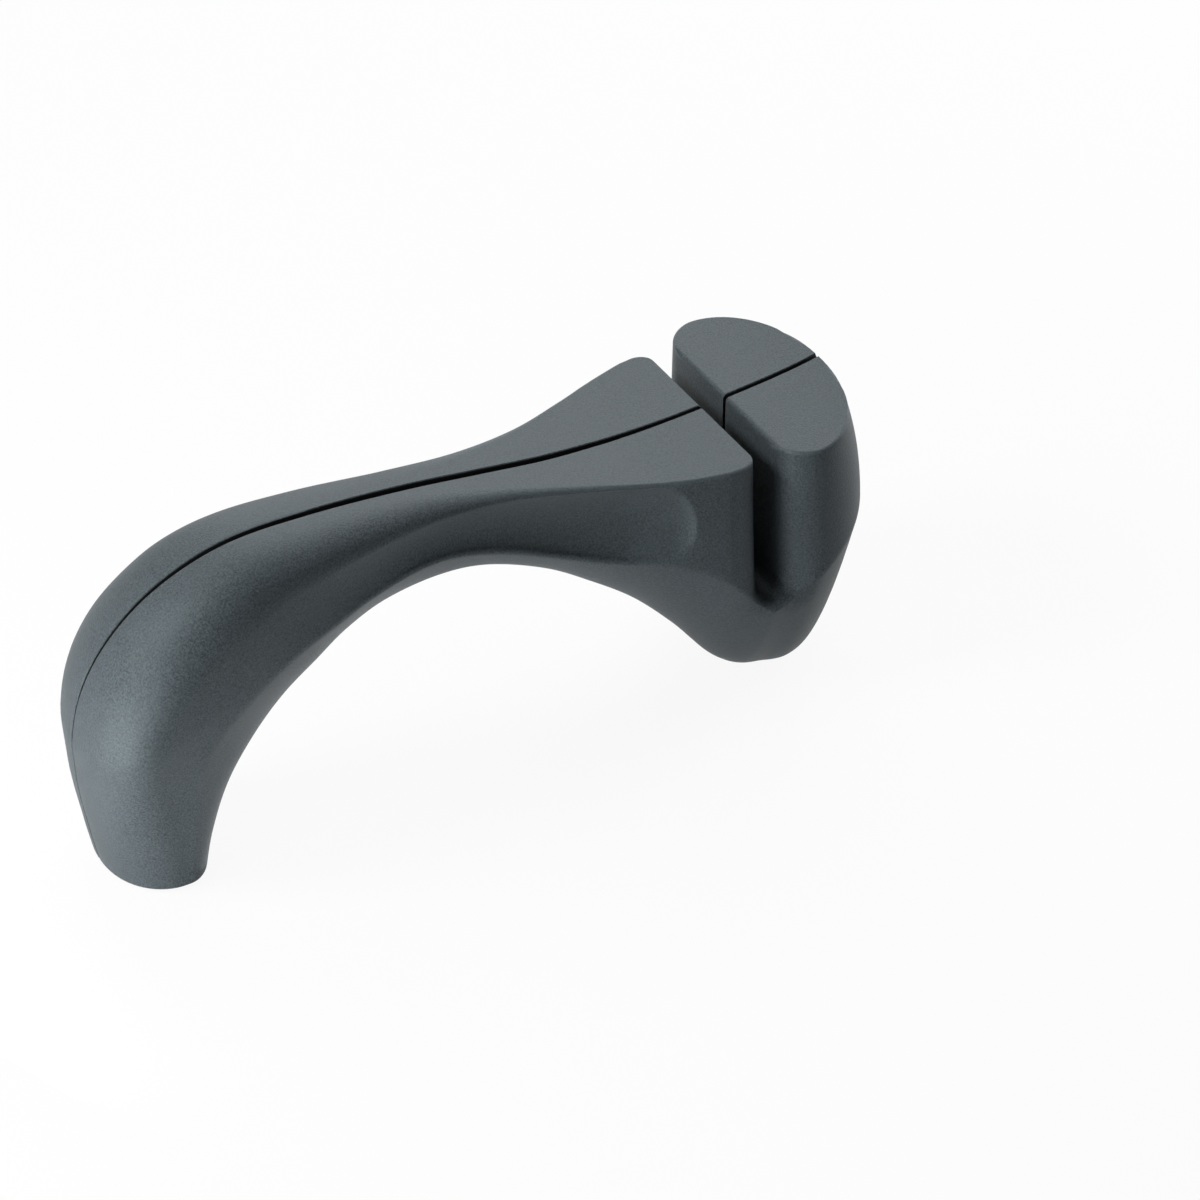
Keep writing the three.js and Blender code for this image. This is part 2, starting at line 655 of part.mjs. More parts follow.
// One roller: an axle with its wheels and the spacers that keep them apart
function placeRoller(name, side, first) {
  const x = SLOT_X + side * axleOffset;
  const middle = (WHEEL_COUNT - 1) / 2;
  place(`${name}_axle`, axleGeometry(), axleSteel(), [x, 0, axleZ]);
  let wheels = 0;
  let spacers = 0;
  for (let i = 0; i < WHEEL_COUNT; i += 1) {
    const at = [x, (i - middle) * wheelPitch, axleZ];
    if (i % 2 === first) {
      wheels += 1;
      place(`${name}_wheel_${wheels}`, wheelGeometry(), wheelCeramic(), at);
    } else {
      spacers += 1;
      place(`${name}_spacer_${spacers}`, spacerGeometry(), cradleBlack(), at);
    }
  }
}

place('front_shell', toGeometry(finishShell(frontShell())), shellGrey());
place('rear_shell', toGeometry(finishShell(rearShell())), shellGrey());
place('wheel_cradle', toGeometry(cradle()), cradleBlack());
placeRoller('left', -1, 0);
placeRoller('right', 1, 1);
place('left_foot_pad', toGeometry(padSolid(LEFT_PAD_X, 0)), padRubber());
place('right_foot_pad', toGeometry(padSolid(RIGHT_PAD_X, 0)), padRubber());
screwPlaces.forEach(([x, z], i) => {
  place(`shell_screw_${i + 1}`, screwGeometry(), axleSteel(), [x, 0, z]);
});

export default sharpener;
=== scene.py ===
# Looks of an arched hand-held knife sharpener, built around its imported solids.
# Lengths are in millimetres in the solids' frame, and become metres where a mesh is made.
import math

import bmesh
import bpy
import numpy as np
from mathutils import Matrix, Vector


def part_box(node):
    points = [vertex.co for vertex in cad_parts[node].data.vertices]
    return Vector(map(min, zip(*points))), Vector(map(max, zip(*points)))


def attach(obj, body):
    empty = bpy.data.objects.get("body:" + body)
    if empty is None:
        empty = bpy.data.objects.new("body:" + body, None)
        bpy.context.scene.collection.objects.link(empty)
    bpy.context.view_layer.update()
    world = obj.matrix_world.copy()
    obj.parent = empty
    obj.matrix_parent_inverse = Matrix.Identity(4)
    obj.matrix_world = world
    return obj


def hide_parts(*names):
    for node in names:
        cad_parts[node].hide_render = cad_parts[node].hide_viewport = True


MM = 0.001

# Main lines of the side view: the back of the plain leg, the hump, the arch and the knife slot
BACK_X = -88.7
HUMP_Z = 69.9
ARCH_Z = 49.6
SLOT_X = 58.3

# Top line of the head and nub, seen from the side, and how far before the nose its crisp edge fades
SADDLE_X = 40
SADDLE_Z = 62.5
SADDLE_RADIUS = 213
TIP_X = SLOT_X + 25.4
TIP_Z = SADDLE_Z + 3.7
NOSE_X = SLOT_X + 30.4
NOSE_Z = 42
NOSE_BLEND = 2

# Half-widths of the head and nub, the rounding of their edges, and the bend of their crease and skirt
HEAD_START = SLOT_X - 9.3
HEAD_TOP = 23.2
HEAD_SKIRT = 26.6
NUB_TOP = 26.6
NUB_SKIRT = 28.8
NUB_CENTRE_X = SLOT_X + 9.4
TOP_EDGE = 0.8
CREASE_BEND = 1.2
SKIRT_BEND = 1.25
BLOCK_SHARP = 0.5

# Soles of the two legs, and the shape of the leg under the head
SOLE_Z = 0.5
SOLE_EDGE = 1
SOLE_START = SLOT_X + 3.2
SOLE_CENTRE = SLOT_X + 9.2
SOLE_END = SLOT_X + 20.2
SOLE_HALF = 13.4
SOLE_FLOOR = 6
SOLE_RISE = 2
SOLE_NARROW = 0.08
CREASE_SOFT = 0.05
LEG_FLARE = 1.5

# Finger scoop in each side of the handle: shallow from the hump on, deep at its crisp end in the head
SCOOP_START = -62
SCOOP_FADE = 50
SCOOP_SHALLOW = 1.3
SCOOP_DEPTH = 3.2
SCOOP_DEEPEN = -5
SCOOP_DEEP = 28
SCOOP_END = 41.5
SCOOP_ROUND = 9
SCOOP_WALL = 12
SCOOP_LEAN = 1.4
SCOOP_FULL = 0.65

# Soft edge round the plain leg on a tilted plane, from which the hump and the leg are drawn in
RING_Z = 33.6
RING_TILT = 0.36
RING_PINCH_ABOVE = 0.9
RING_PINCH_BELOW = 0.4
RING_ABOVE = 8
RING_BELOW = 5
RING_SOFT = 0.8
RING_FADE = (-70, -52)

# Power of the hump's rounding, under 1 is fuller than an ellipse, and where it comes in: by width and by x
SHOULDER_FULL = 0.84
SHOULDER_ACROSS = (4, 10)
SHOULDER_BLEND = (-84, -64)

# Setback of the crease's rounding: crisp at the head, soft down the leg
CREASE_CRISP = 0.9
CREASE_LOOSE = 5
CREASE_RUN = (40, 88)

# Knife slot: a channel with a round floor, whose mouth is rounded into the head, the nub and the body
SLOT_HALF = 2.75
SLOT_FLOOR = 28
HEAD_CORNER = 4.5
NUB_CORNER = 8
LIP_CORNER = 3
MOUTH_CREASE = 26
CHANNEL_Z = SLOT_FLOOR + SLOT_HALF

# Shell walls and the groove between the shells
WALL = 1.9
GROOVE_DEPTH = 1.25
TONGUE_GAP = 0.05
SEAM_LEG = 0.24
SEAM_WAIST = 0.82
SEAM_HEAD = 0.5
SEAM_TAPER = 30
SEAM_EDGE = 0.18

# Window in the slot's walls that the wheels come through, and its share of a narrow top
WINDOW_HALF = 7.5
WINDOW_TOP = 42
WINDOW_SHARE = 0.42

# Levels of the rows of points away from the slot, as shares of the side, and their change beside it
PLAIN_LEVELS = (0.6, 0.86)
LEVEL_BLEND = 6

# Half-width over which a flat top gets a crisp edge, and rounding over which its rubbing ends
CRISP_TOP = (2, 7)
WEAR_FADE = (2, 6)

# Steps of one section, from the groove on top, round the side, to the groove underneath
TOP_STEPS = 6
EDGE_STEPS = 12
UPPER_STEPS = 12
WINDOW_STEPS = 5
MOUTH_STEPS = 4
CREASE_STEPS = 5
LOWER_STEPS = 14
UNDER_STEPS = 4

# Steps along the casing, and the first and last points of the sole's ring that lie at the groove
SECTION_STEPS = 13
HEAD_STEPS = 5
HEAD_CORNER_STEPS = 16
NUB_CORNER_STEPS = 18
NUB_TOP_STEPS = 22
NOSE_STEPS = 12
BRIDGE_STEPS = 14
SOLE_STEPS = 5
SOLE_FIRST = 4
SOLE_LAST = UNDER_STEPS + 2

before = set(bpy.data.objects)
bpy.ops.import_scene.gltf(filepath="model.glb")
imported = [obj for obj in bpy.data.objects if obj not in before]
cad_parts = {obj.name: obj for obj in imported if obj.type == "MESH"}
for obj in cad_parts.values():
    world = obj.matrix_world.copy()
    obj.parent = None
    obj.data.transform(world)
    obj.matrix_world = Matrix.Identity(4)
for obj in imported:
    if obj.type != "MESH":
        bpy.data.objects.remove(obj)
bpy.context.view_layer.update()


def lerp(a, b, share):
    return a + (b - a) * share


def clamp(value, low, high):
    return min(max(value, low), high)


def smoothstep(value, low, high):
    share = clamp((value - low) / (high - low), 0, 1)
    return share * share * (3 - 2 * share)


# Top line of the handle, head and nub
def top_line(x):
    return SADDLE_Z + SADDLE_RADIUS - math.sqrt(SADDLE_RADIUS**2 - (x - SADDLE_X) ** 2)


def section(spine, belly, top, across, down, side, crease, sharp, under, seam):
    """Half section on a spoke from spine to belly, with half-widths at its top edge, crease and belly."""
    return dict(
        sx=spine[0], sz=spine[1], bx=belly[0], bz=belly[1], top=top, across=across, down=down,
        side=side, crease=crease, sharp=sharp, under=under, seam=seam,
    )


def head_spoke(before, belly, top, side, crease, sharp, under):
    """Section at a distance before the head's start, with the head's crisp top edge."""
    x = HEAD_START - before
    spine = (x, top_line(x))
    foot = (HEAD_START - belly[0], belly[1])
    seam = lerp(SEAM_HEAD, SEAM_WAIST, before / SEAM_TAPER)
    return section(spine, foot, top, TOP_EDGE, TOP_EDGE, side, crease, sharp, under, seam)


SECTIONS = [
    section((BACK_X + 2.5, SOLE_Z + SOLE_EDGE), (BACK_X + 23.4, SOLE_Z + SOLE_EDGE),
            16.2, 16.2, 13, 16.2, 0.66, 0, 4.5, SEAM_LEG),
    section((BACK_X + 1.3, 10), (BACK_X + 25.2, 10), 16, 16, 13.5, 16.1, 0.68, 0.02, 6.5, SEAM_LEG),
    section((BACK_X, 25), (BACK_X + 29.5, 21.5), 16.8, 16.8, 12.5, 16.6, 0.65, 0.2, 9, SEAM_LEG),
    section((BACK_X + 1.5, HUMP_Z - 27.9), (BACK_X + 35.8, ARCH_Z - 20.1),
            18, 18, 11, 17.4, 0.62, 0.5, 9, SEAM_LEG),
    section((BACK_X + 8.3, HUMP_Z - 14.9), (BACK_X + 42.7, ARCH_Z - 13.8),
            18.4, 18.4, 11, 16.8, 0.66, 0.6, 8.5, 0.3),
    section((BACK_X + 20.3, HUMP_Z - 4.9), (BACK_X + 50.3, ARCH_Z - 8.8),
            16.8, 15.4, 11.5, 15.6, 0.69, 0.6, 8, 0.4),
    section((-52.4, HUMP_Z - 0.2), (-31.4, ARCH_Z - 4.6), 14.4, 12.5, 9.5, 14, 0.73, 0.7, 7.5, 0.57),
    section((-34.4, HUMP_Z), (-22.4, ARCH_Z - 1.2), 12, 9.5, 6.5, 12, 0.72, 0.75, 7.3, 0.7),
    section((-14.4, HUMP_Z - 1.7), (-10.4, ARCH_Z), 9.6, 6, 3.5, 10.6, 0.66, 0.75, 7.2, SEAM_WAIST),
    section((2.6, top_line(2.6)), (0.6, ARCH_Z - 1.7), 9.4, 3, 1.8, 10.4, 0.72, 0.7, 7.2, SEAM_WAIST),
    section((17.6, top_line(17.6)), (13.6, ARCH_Z - 7.5),
            12.3, 1.5, 1, 11.5, 0.76, 0.65, 7.5, SEAM_WAIST),
    head_spoke(18.4, (25, 35), 16.8, 14.5, 0.7, 0.6, 8),
    head_spoke(11, (15, 27), 19.6, 19, 0.58, 0.5, 8.5),
    head_spoke(6, (6, 17.2), 21.2, 22, 0.515, 0.5, 9),
    head_spoke(0, (0, 9.4), 22.7, 24.3, 0.52, 0.5, 9.5),
]
HEAD_SECTION = SECTIONS[-1]
LEG_BOSS = SECTIONS[2]
HUMP_BOSS = SECTIONS[5]
HANDLE_BOSS = SECTIONS[-4]


def mid_spoke(row):
    return ((row["sx"] + row["bx"]) / 2, (row["sz"] + row["bz"]) / 2)


SCREWS = [
    mid_spoke(LEG_BOSS),
    mid_spoke(HUMP_BOSS),
    mid_spoke(HANDLE_BOSS),
    (SLOT_X + 19.2, 50),
    (SOLE_CENTRE, 10),
]
SCREW_SEAT = 3
BOSS_RADIUS = 4.5
BOSS_BLEND = 2
BOSS_GAP = 0.6
SINK_RADIUS = 2.9
SHANK_HOLE = 1.6
PILOT_HOLE = 1.36
PILOT_END = -8.3

PADS = {"left_foot_pad": BACK_X + 12.7, "right_foot_pad": SOLE_CENTRE + 1}
PAD_LENGTH = 13
PAD_WIDTH = 19
PAD_THICKNESS = 2.2
PAD_FIT = 0.3


# Outlines of the head, the nub and the leg under them, shrunk by an inset
def corner_cut(distance, radius):
    depth = radius - clamp(distance, 0, radius)
    return radius - math.sqrt(radius**2 - depth**2)


def mouth_cut(x, z, inset):
    """How far the surface falls back beside the slot's mouth, by its distance from the channel."""
    half = SLOT_HALF + inset
    side_corner = HEAD_CORNER if x < SLOT_X else NUB_CORNER
    if z >= CHANNEL_Z:
        distance = abs(x - SLOT_X) - half
        radius = side_corner
    else:
        reach = math.hypot(x - SLOT_X, z - CHANNEL_Z)
        distance = reach - half
        radius = lerp(side_corner, LIP_CORNER, smoothstep((CHANNEL_Z - z) / reach, 0, 1))
    return corner_cut(distance, max(radius - inset, TOP_EDGE))


def crease_line(x):
    if x < SLOT_X:
        head_crease = lerp(HEAD_SECTION["sz"], HEAD_SECTION["bz"], HEAD_SECTION["crease"])
        return lerp(MOUTH_CREASE, head_crease, ((SLOT_X - x) / (SLOT_X - HEAD_START)) ** CREASE_BEND)
    reach = clamp((x - SLOT_X) / (NOSE_X - SLOT_X), 0, 1)
    whole = math.hypot(1, CREASE_SOFT) - CREASE_SOFT
    soft = (math.hypot(reach, CREASE_SOFT) - CREASE_SOFT) / whole
    return lerp(MOUTH_CREASE, NOSE_Z, math.sin(soft * math.pi / 2))


def belly_line(x, inset):
    if x <= SOLE_START:
        rise = ((SOLE_START - x) / (SOLE_START - HEAD_START)) ** SOLE_RISE
        return lerp(SOLE_Z, HEAD_SECTION["bz"], rise) + inset
    end = SOLE_END - inset
    reach = clamp((x - end) / (NOSE_X - inset - end), 0, 1)
    drop = (1 - reach**LEG_FLARE) ** (1 / LEG_FLARE)
    return lerp(NOSE_Z, SOLE_Z + inset, drop)


def upper_line(x, inset):
    tip = TIP_X - inset
    if x <= tip:
        return top_line(x) + (TIP_Z - top_line(TIP_X)) * smoothstep(x, SLOT_X, TIP_X) - inset
    reach = (x - tip) / (NOSE_X - TIP_X)
    return lerp(NOSE_Z, TIP_Z - inset, math.sqrt(clamp(1 - reach, 0, 1)))


def slot_edge_drop(x, inset):
    """Rounding of the top edge along the slot."""
    return corner_cut(abs(x - SLOT_X) - SLOT_HALF - inset, TOP_EDGE)


def sole_half_width(x):
    if x <= SOLE_CENTRE:
        full = lerp(HEAD_SECTION["under"], SOLE_HALF, smoothstep(x, HEAD_START, SOLE_CENTRE))
        narrow = smoothstep(x, HEAD_START, SOLE_START) - smoothstep(x, SOLE_START, SOLE_CENTRE)
        return full * (1 - SOLE_NARROW * narrow)
    reach = clamp((x - SOLE_CENTRE) / (SOLE_END - SOLE_CENTRE), 0, 1)
    return SOLE_HALF * math.sqrt(1 - reach**2)


def head_half_width(x, share, inset):
    top = lerp(HEAD_SECTION["top"], HEAD_TOP, smoothstep(x, HEAD_START, SLOT_X - SLOT_HALF))
    run = clamp((x - HEAD_START) / (SLOT_X - HEAD_START), 0, 1)
    skirt = lerp(HEAD_SECTION["side"], HEAD_SKIRT, run)
    return lerp(top, skirt, share**SKIRT_BEND) - inset


def nub_half_width(x, z, inset):
    top = TIP_Z - inset
    fall = clamp((top - z) / (top - crease_line(x)), 0, 1)
    length = lerp(TIP_X, NOSE_X, 1 - (1 - fall) ** 2) - inset - NUB_CENTRE_X
    skirt = lerp(HEAD_SKIRT, NUB_SKIRT, smoothstep(x, SLOT_X, NUB_CENTRE_X))
    reach = clamp((x - NUB_CENTRE_X) / length, 0, 1)
    return (lerp(NUB_TOP, skirt, fall) - inset) * math.sqrt(1 - reach**2)


def block_row(x, inset):
    """Upright section of the head or the nub."""
    sz = upper_line(x, inset) - slot_edge_drop(x, inset)
    bz = belly_line(x, inset)
    crease = crease_line(x) - inset

    def width(z):
        share = clamp((sz - z) / (sz - crease), 0, 1)
        full = head_half_width(x, share, inset) if x < SLOT_X else nub_half_width(x, z, inset)
        return full - mouth_cut(x, z, inset)

    edge = min(TOP_EDGE, max(width(sz - TOP_EDGE), 0) / 2, (sz - crease) / 3)
    side = width(crease)
    row = section(
        (x, sz), (x, bz), width(sz - edge), edge, edge, side, (sz - crease) / (sz - bz), BLOCK_SHARP,
        min(max(sole_half_width(x) - inset, 0), max(side, 0)), SEAM_HEAD,
    )
    row["width"] = width
    row["ridge"] = max(width(sz), 0)
    row["nose"] = smoothstep(x, TIP_X - inset - NOSE_BLEND, TIP_X - inset)
    row["inset"] = inset
    return row


# Sections of the leg and the handle, by a smooth curve through each value of the given ones
def smooth_between(a, b, c, d, share):
    bend = 2 * a - 5 * b + 4 * c - d + share * (3 * (b - c) + d - a)
    return b + share / 2 * (c - a + share * bend)


def inset_row(row, inset):
    length = math.hypot(row["bx"] - row["sx"], row["bz"] - row["sz"])
    step_x = (row["bx"] - row["sx"]) / length * inset
    step_z = (row["bz"] - row["sz"]) / length * inset
    moved = dict(row)
    moved["sx"] += step_x
    moved["sz"] += step_z
    moved["bx"] -= step_x
    moved["bz"] -= step_z
    for name in ("top", "side", "under"):
        moved[name] -= inset
    for name in ("across", "down"):
        moved[name] = max(moved[name] - inset, TOP_EDGE / 2)
    moved["crease"] = (row["crease"] * length - inset) / (length - 2 * inset)
    for name in ("sz", "bz"):
        moved[name] += floor_lift(moved[name], inset)
    return moved


def floor_lift(z, inset):
    """Raises the inside over the solid floor of the plain leg's sole."""
    depth = (SOLE_FLOOR - SOLE_Z) * inset / WALL
    return depth * (1 - smoothstep(z, 0, 5 * SOLE_FLOOR))


def leg_and_handle():
    after = block_row(HEAD_START + 3, 0)
    keys = [SECTIONS[0], *SECTIONS, after]
    names = list(SECTIONS[0])
    rows = []
    for a, b, c, d in zip(keys, keys[1:], keys[2:], keys[3:]):
        for step in range(SECTION_STEPS):
            values = {n: smooth_between(a[n], b[n], c[n], d[n], step / SECTION_STEPS) for n in names}
            rows.append(values)
    return rows


def sole_edge_row(row, turn):
    inset = SOLE_EDGE * (1 - math.sin(turn))
    z = SOLE_Z + SOLE_EDGE * (1 - math.cos(turn))
    moved = dict(row)
    moved["sx"] += inset
    moved["bx"] -= inset
    moved["sz"] = z
    moved["bz"] = z
    for name in ("top", "side", "across", "down"):
        moved[name] -= inset
    return moved


def spread(count):
    """Angles from 0 to a right angle."""
    return [math.pi / 2 * i / count for i in range(count + 1)]


def head_places(inset):
    end = SLOT_X - SLOT_HALF - inset
    radius = max(HEAD_CORNER - inset, TOP_EDGE)
    straight = np.linspace(HEAD_START, end - radius, HEAD_STEPS + 1)[:-1]
    return [*straight, *(end - radius * (1 - math.sin(a)) for a in spread(HEAD_CORNER_STEPS))]


def nub_places(inset):
    start = SLOT_X + SLOT_HALF + inset
    radius = max(NUB_CORNER - inset, TOP_EDGE)
    round_part = [start + radius * (1 - math.cos(a)) for a in spread(NUB_CORNER_STEPS)]
    first = round_part[-1]
    tip = TIP_X - inset
    nose = NOSE_X - inset
    top_part = [lerp(first, tip, math.sin(a)) for a in spread(NUB_TOP_STEPS)[1:]]
    nose_part = [lerp(tip, nose, math.sin(a)) for a in spread(NOSE_STEPS)[1:-1]]
    return [*round_part, *top_part, *nose_part]


def scoop_depth(x, share):
    """Depth of the finger scoop at a place along the handle and a share of the side's height."""
    end = SCOOP_END - SCOOP_ROUND * (1 - math.sqrt(1 - (2 * share - 1) ** 2))
    wall = math.sqrt(1 - (1 - clamp((end - x) / SCOOP_WALL, 0, 1)) ** 2)
    depth = lerp(SCOOP_SHALLOW, SCOOP_DEPTH, smoothstep(x, SCOOP_DEEPEN, SCOOP_DEEP))
    lean = lerp(SCOOP_LEAN, 1, smoothstep(x, SCOOP_DEEPEN, SCOOP_DEEP))
    start = smoothstep(x, SCOOP_START, SCOOP_START + SCOOP_FADE)
    return depth * math.sin(math.pi * share**lean) ** SCOOP_FULL * wall * start


def ring_pinch(x, z):
    """How far the hump and the plain leg are drawn in, by the distance from their soft edge."""
    above = (z - RING_Z - RING_TILT * (x - BACK_X)) / math.hypot(1, RING_TILT)
    most, reach = (RING_PINCH_ABOVE, RING_ABOVE) if above > 0 else (RING_PINCH_BELOW, RING_BELOW)
    away = math.hypot(above, RING_SOFT) - RING_SOFT
    return most * (1 - math.exp(-away / reach)) * (1 - smoothstep(x, *RING_FADE))


def level_shares(row, down, crease_at):
    """Shares of the side's height at the window's top and the channel's middle, true beside the slot."""
    if "width" not in row:
        return PLAIN_LEVELS
    inset = row["inset"]
    gap = abs(row["sx"] - SLOT_X) - SLOT_HALF - inset
    near = 1 - smoothstep(gap, 0, LEVEL_BLEND)
    true = [(row["sz"] - z - down) / (crease_at - down) for z in (WINDOW_TOP, CHANNEL_Z)]
    return [lerp(p, t, near) for p, t in zip(PLAIN_LEVELS, true)]


def crease_round(row):
    """Setback of the crease's rounding in a section."""
    return lerp(CREASE_CRISP, CREASE_LOOSE, smoothstep(-row["sx"], *CREASE_RUN))


class Ring:
    """Points of one half section as (distance along the spoke, half-width)."""

    def __init__(self, row, inset):
        self.row = row
        self.inset = inset
        self.length = math.hypot(row["bx"] - row["sx"], row["bz"] - row["sz"])
        self.crease_at = row["crease"] * self.length
        self.points = []

    def place(self, along):
        share = along / self.length
        row = self.row
        return lerp(row["sx"], row["bx"], share), lerp(row["sz"], row["bz"], share)

    def side(self, along):
        row = self.row
        share = clamp((along - row["down"]) / (self.crease_at - row["down"]), 0, 1)
        x, z = self.place(along)
        width = row["width"](z) if "width" in row else lerp(row["top"], row["side"], share)
        return along, width - scoop_depth(x, share)

    def lower(self, share):
        row = self.row
        along = lerp(self.crease_at, self.length, share)
        swell = row["sharp"] * (1 - share) + (1 - row["sharp"]) * math.sqrt(max(1 - share**2, 0))
        x, z = self.place(along)
        crease_width = row["side"]
        cut = 0
        if "width" in row:
            cut = mouth_cut(x, z, self.inset)
            crease_width += mouth_cut(*self.place(self.crease_at), self.inset)
        return along, lerp(row["under"], crease_width, swell) - cut

    def add_top(self):
        """Groove edge, flat top and rounded edge. On the nose the top sinks away from its ridge."""
        row = self.row
        seam = row["seam"]
        across = min(row["across"], row["top"] - seam - 2 * SEAM_EDGE)
        flat = row["top"] - across
        arc = math.pi / 4 * (across + row["down"])
        start = seam + SEAM_EDGE
        window = min(WINDOW_HALF, WINDOW_SHARE * flat)
        stepped = [lerp(window, flat, i / (TOP_STEPS - 1)) for i in range(TOP_STEPS)]
        stepped += [flat + arc * i / EDGE_STEPS for i in range(1, EDGE_STEPS + 1)]
        count = len(stepped)
        even = [lerp(start, flat + arc, (i + 1) / count) for i in range(count)]
        crisp = smoothstep(flat, *CRISP_TOP)
        shoulder = smoothstep(across, *SHOULDER_ACROSS) * smoothstep(row["sx"], *SHOULDER_BLEND)
        full = lerp(1, SHOULDER_FULL, shoulder)
        nose = row.get("nose", 0)
        self.points += [(SEAM_EDGE, seam), (0, start)]
        for i, (a, b) in enumerate(zip(even, stepped)):
            place = lerp(a, b, crisp)
            turn = clamp((place - flat) / arc, 0, 1) * math.pi / 2
            fall = 1 - max(math.cos(turn), 0) ** full
            width = min(place, flat) + across * math.sin(turn) ** full
            if nose > 0:
                reach = lerp(start, row["top"], (i + 1) / count)
                ridge = min(row["ridge"], 0.9 * row["top"])
                sunk = clamp((reach - ridge) / (row["top"] - ridge), 0, 1) ** 2
                fall = lerp(fall, sunk, nose)
                width = lerp(width, reach, nose)
            self.points.append((row["down"] * fall, width))

    def add_side(self, start, end, steps):
        for i in range(1, steps + 1):
            self.points.append(self.side(lerp(start, end, i / steps)))

    def add_lower(self, start):
        """Mouth part of the side from a start, the rounded crease, and the underside to the groove."""
        below = self.length - self.crease_at
        setback = min(crease_round(self.row), 0.6 * (self.crease_at - start), 0.3 * below)
        before = self.crease_at - setback
        share_after = setback / below
        self.add_side(start, before, MOUTH_STEPS)
        a = np.array(self.side(before))
        b = np.array(self.side(self.crease_at))
        c = np.array(self.lower(share_after))
        for i in range(1, CREASE_STEPS + 1):
            t = i / CREASE_STEPS
            self.points.append(tuple((1 - t) ** 2 * a + 2 * t * (1 - t) * b + t**2 * c))
        for turn in spread(LOWER_STEPS)[1:]:
            self.points.append(self.lower(lerp(share_after, 1, math.sin(turn))))
        seam = self.row["seam"]
        under = self.points[-1][1]
        for i in range(1, UNDER_STEPS + 1):
            self.points.append((self.length, lerp(under, seam + SEAM_EDGE, i / UNDER_STEPS)))
        self.points.append((self.length - SEAM_EDGE, seam))

    def xyz(self):
        seam = self.row["seam"]
        middle = self.length / 2
        found = []
        for along, width in self.points:
            x, z = self.place(along)
            pinch = ring_pinch(x, z)
            reach = math.hypot(along - middle, width)
            x, z = self.place(along - pinch * (along - middle) / reach)
            found.append((x, max(width - pinch * width / reach, seam), z))
        return found


def full_ring(row, inset):
    ring = Ring(row, inset)
    down = row["down"]
    window, channel = (lerp(down, ring.crease_at, s) for s in level_shares(row, down, ring.crease_at))
    ring.add_top()
    ring.add_side(down, window, UPPER_STEPS)
    ring.add_side(window, channel, WINDOW_STEPS)
    ring.add_lower(channel)
    return ring.xyz()


TOP_COUNT = 2 + TOP_STEPS
WALL_ROWS = EDGE_STEPS + UPPER_STEPS + WINDOW_STEPS
WINDOW_ROW = EDGE_STEPS + UPPER_STEPS
MOUTH_INDEX = TOP_COUNT - 1 + WALL_ROWS


def bridge_ring(x, inset):
    """Section under the slot, from the channel's floor down."""
    row = block_row(x, inset)
    half = SLOT_HALF + inset
    floor = CHANNEL_Z - math.sqrt(max(half**2 - (x - SLOT_X) ** 2, 0))
    ring = Ring(row, inset)
    start = row["sz"] - floor
    ring.points.append(ring.side(start))
    ring.add_lower(start)
    return ring.xyz()


def strip_faces(one, two):
    """Faces between two lines of points, which may meet in places."""
    quads = zip(one, one[1:], two[1:], two)
    faces = [tuple(dict.fromkeys(quad)) for quad in quads]
    return [face for face in faces if len(face) > 2]


def wall_shares():
    """Shares of the way from the window's side to the outside."""
    return [i / (TOP_STEPS - 1) for i in range(TOP_STEPS - 1)]


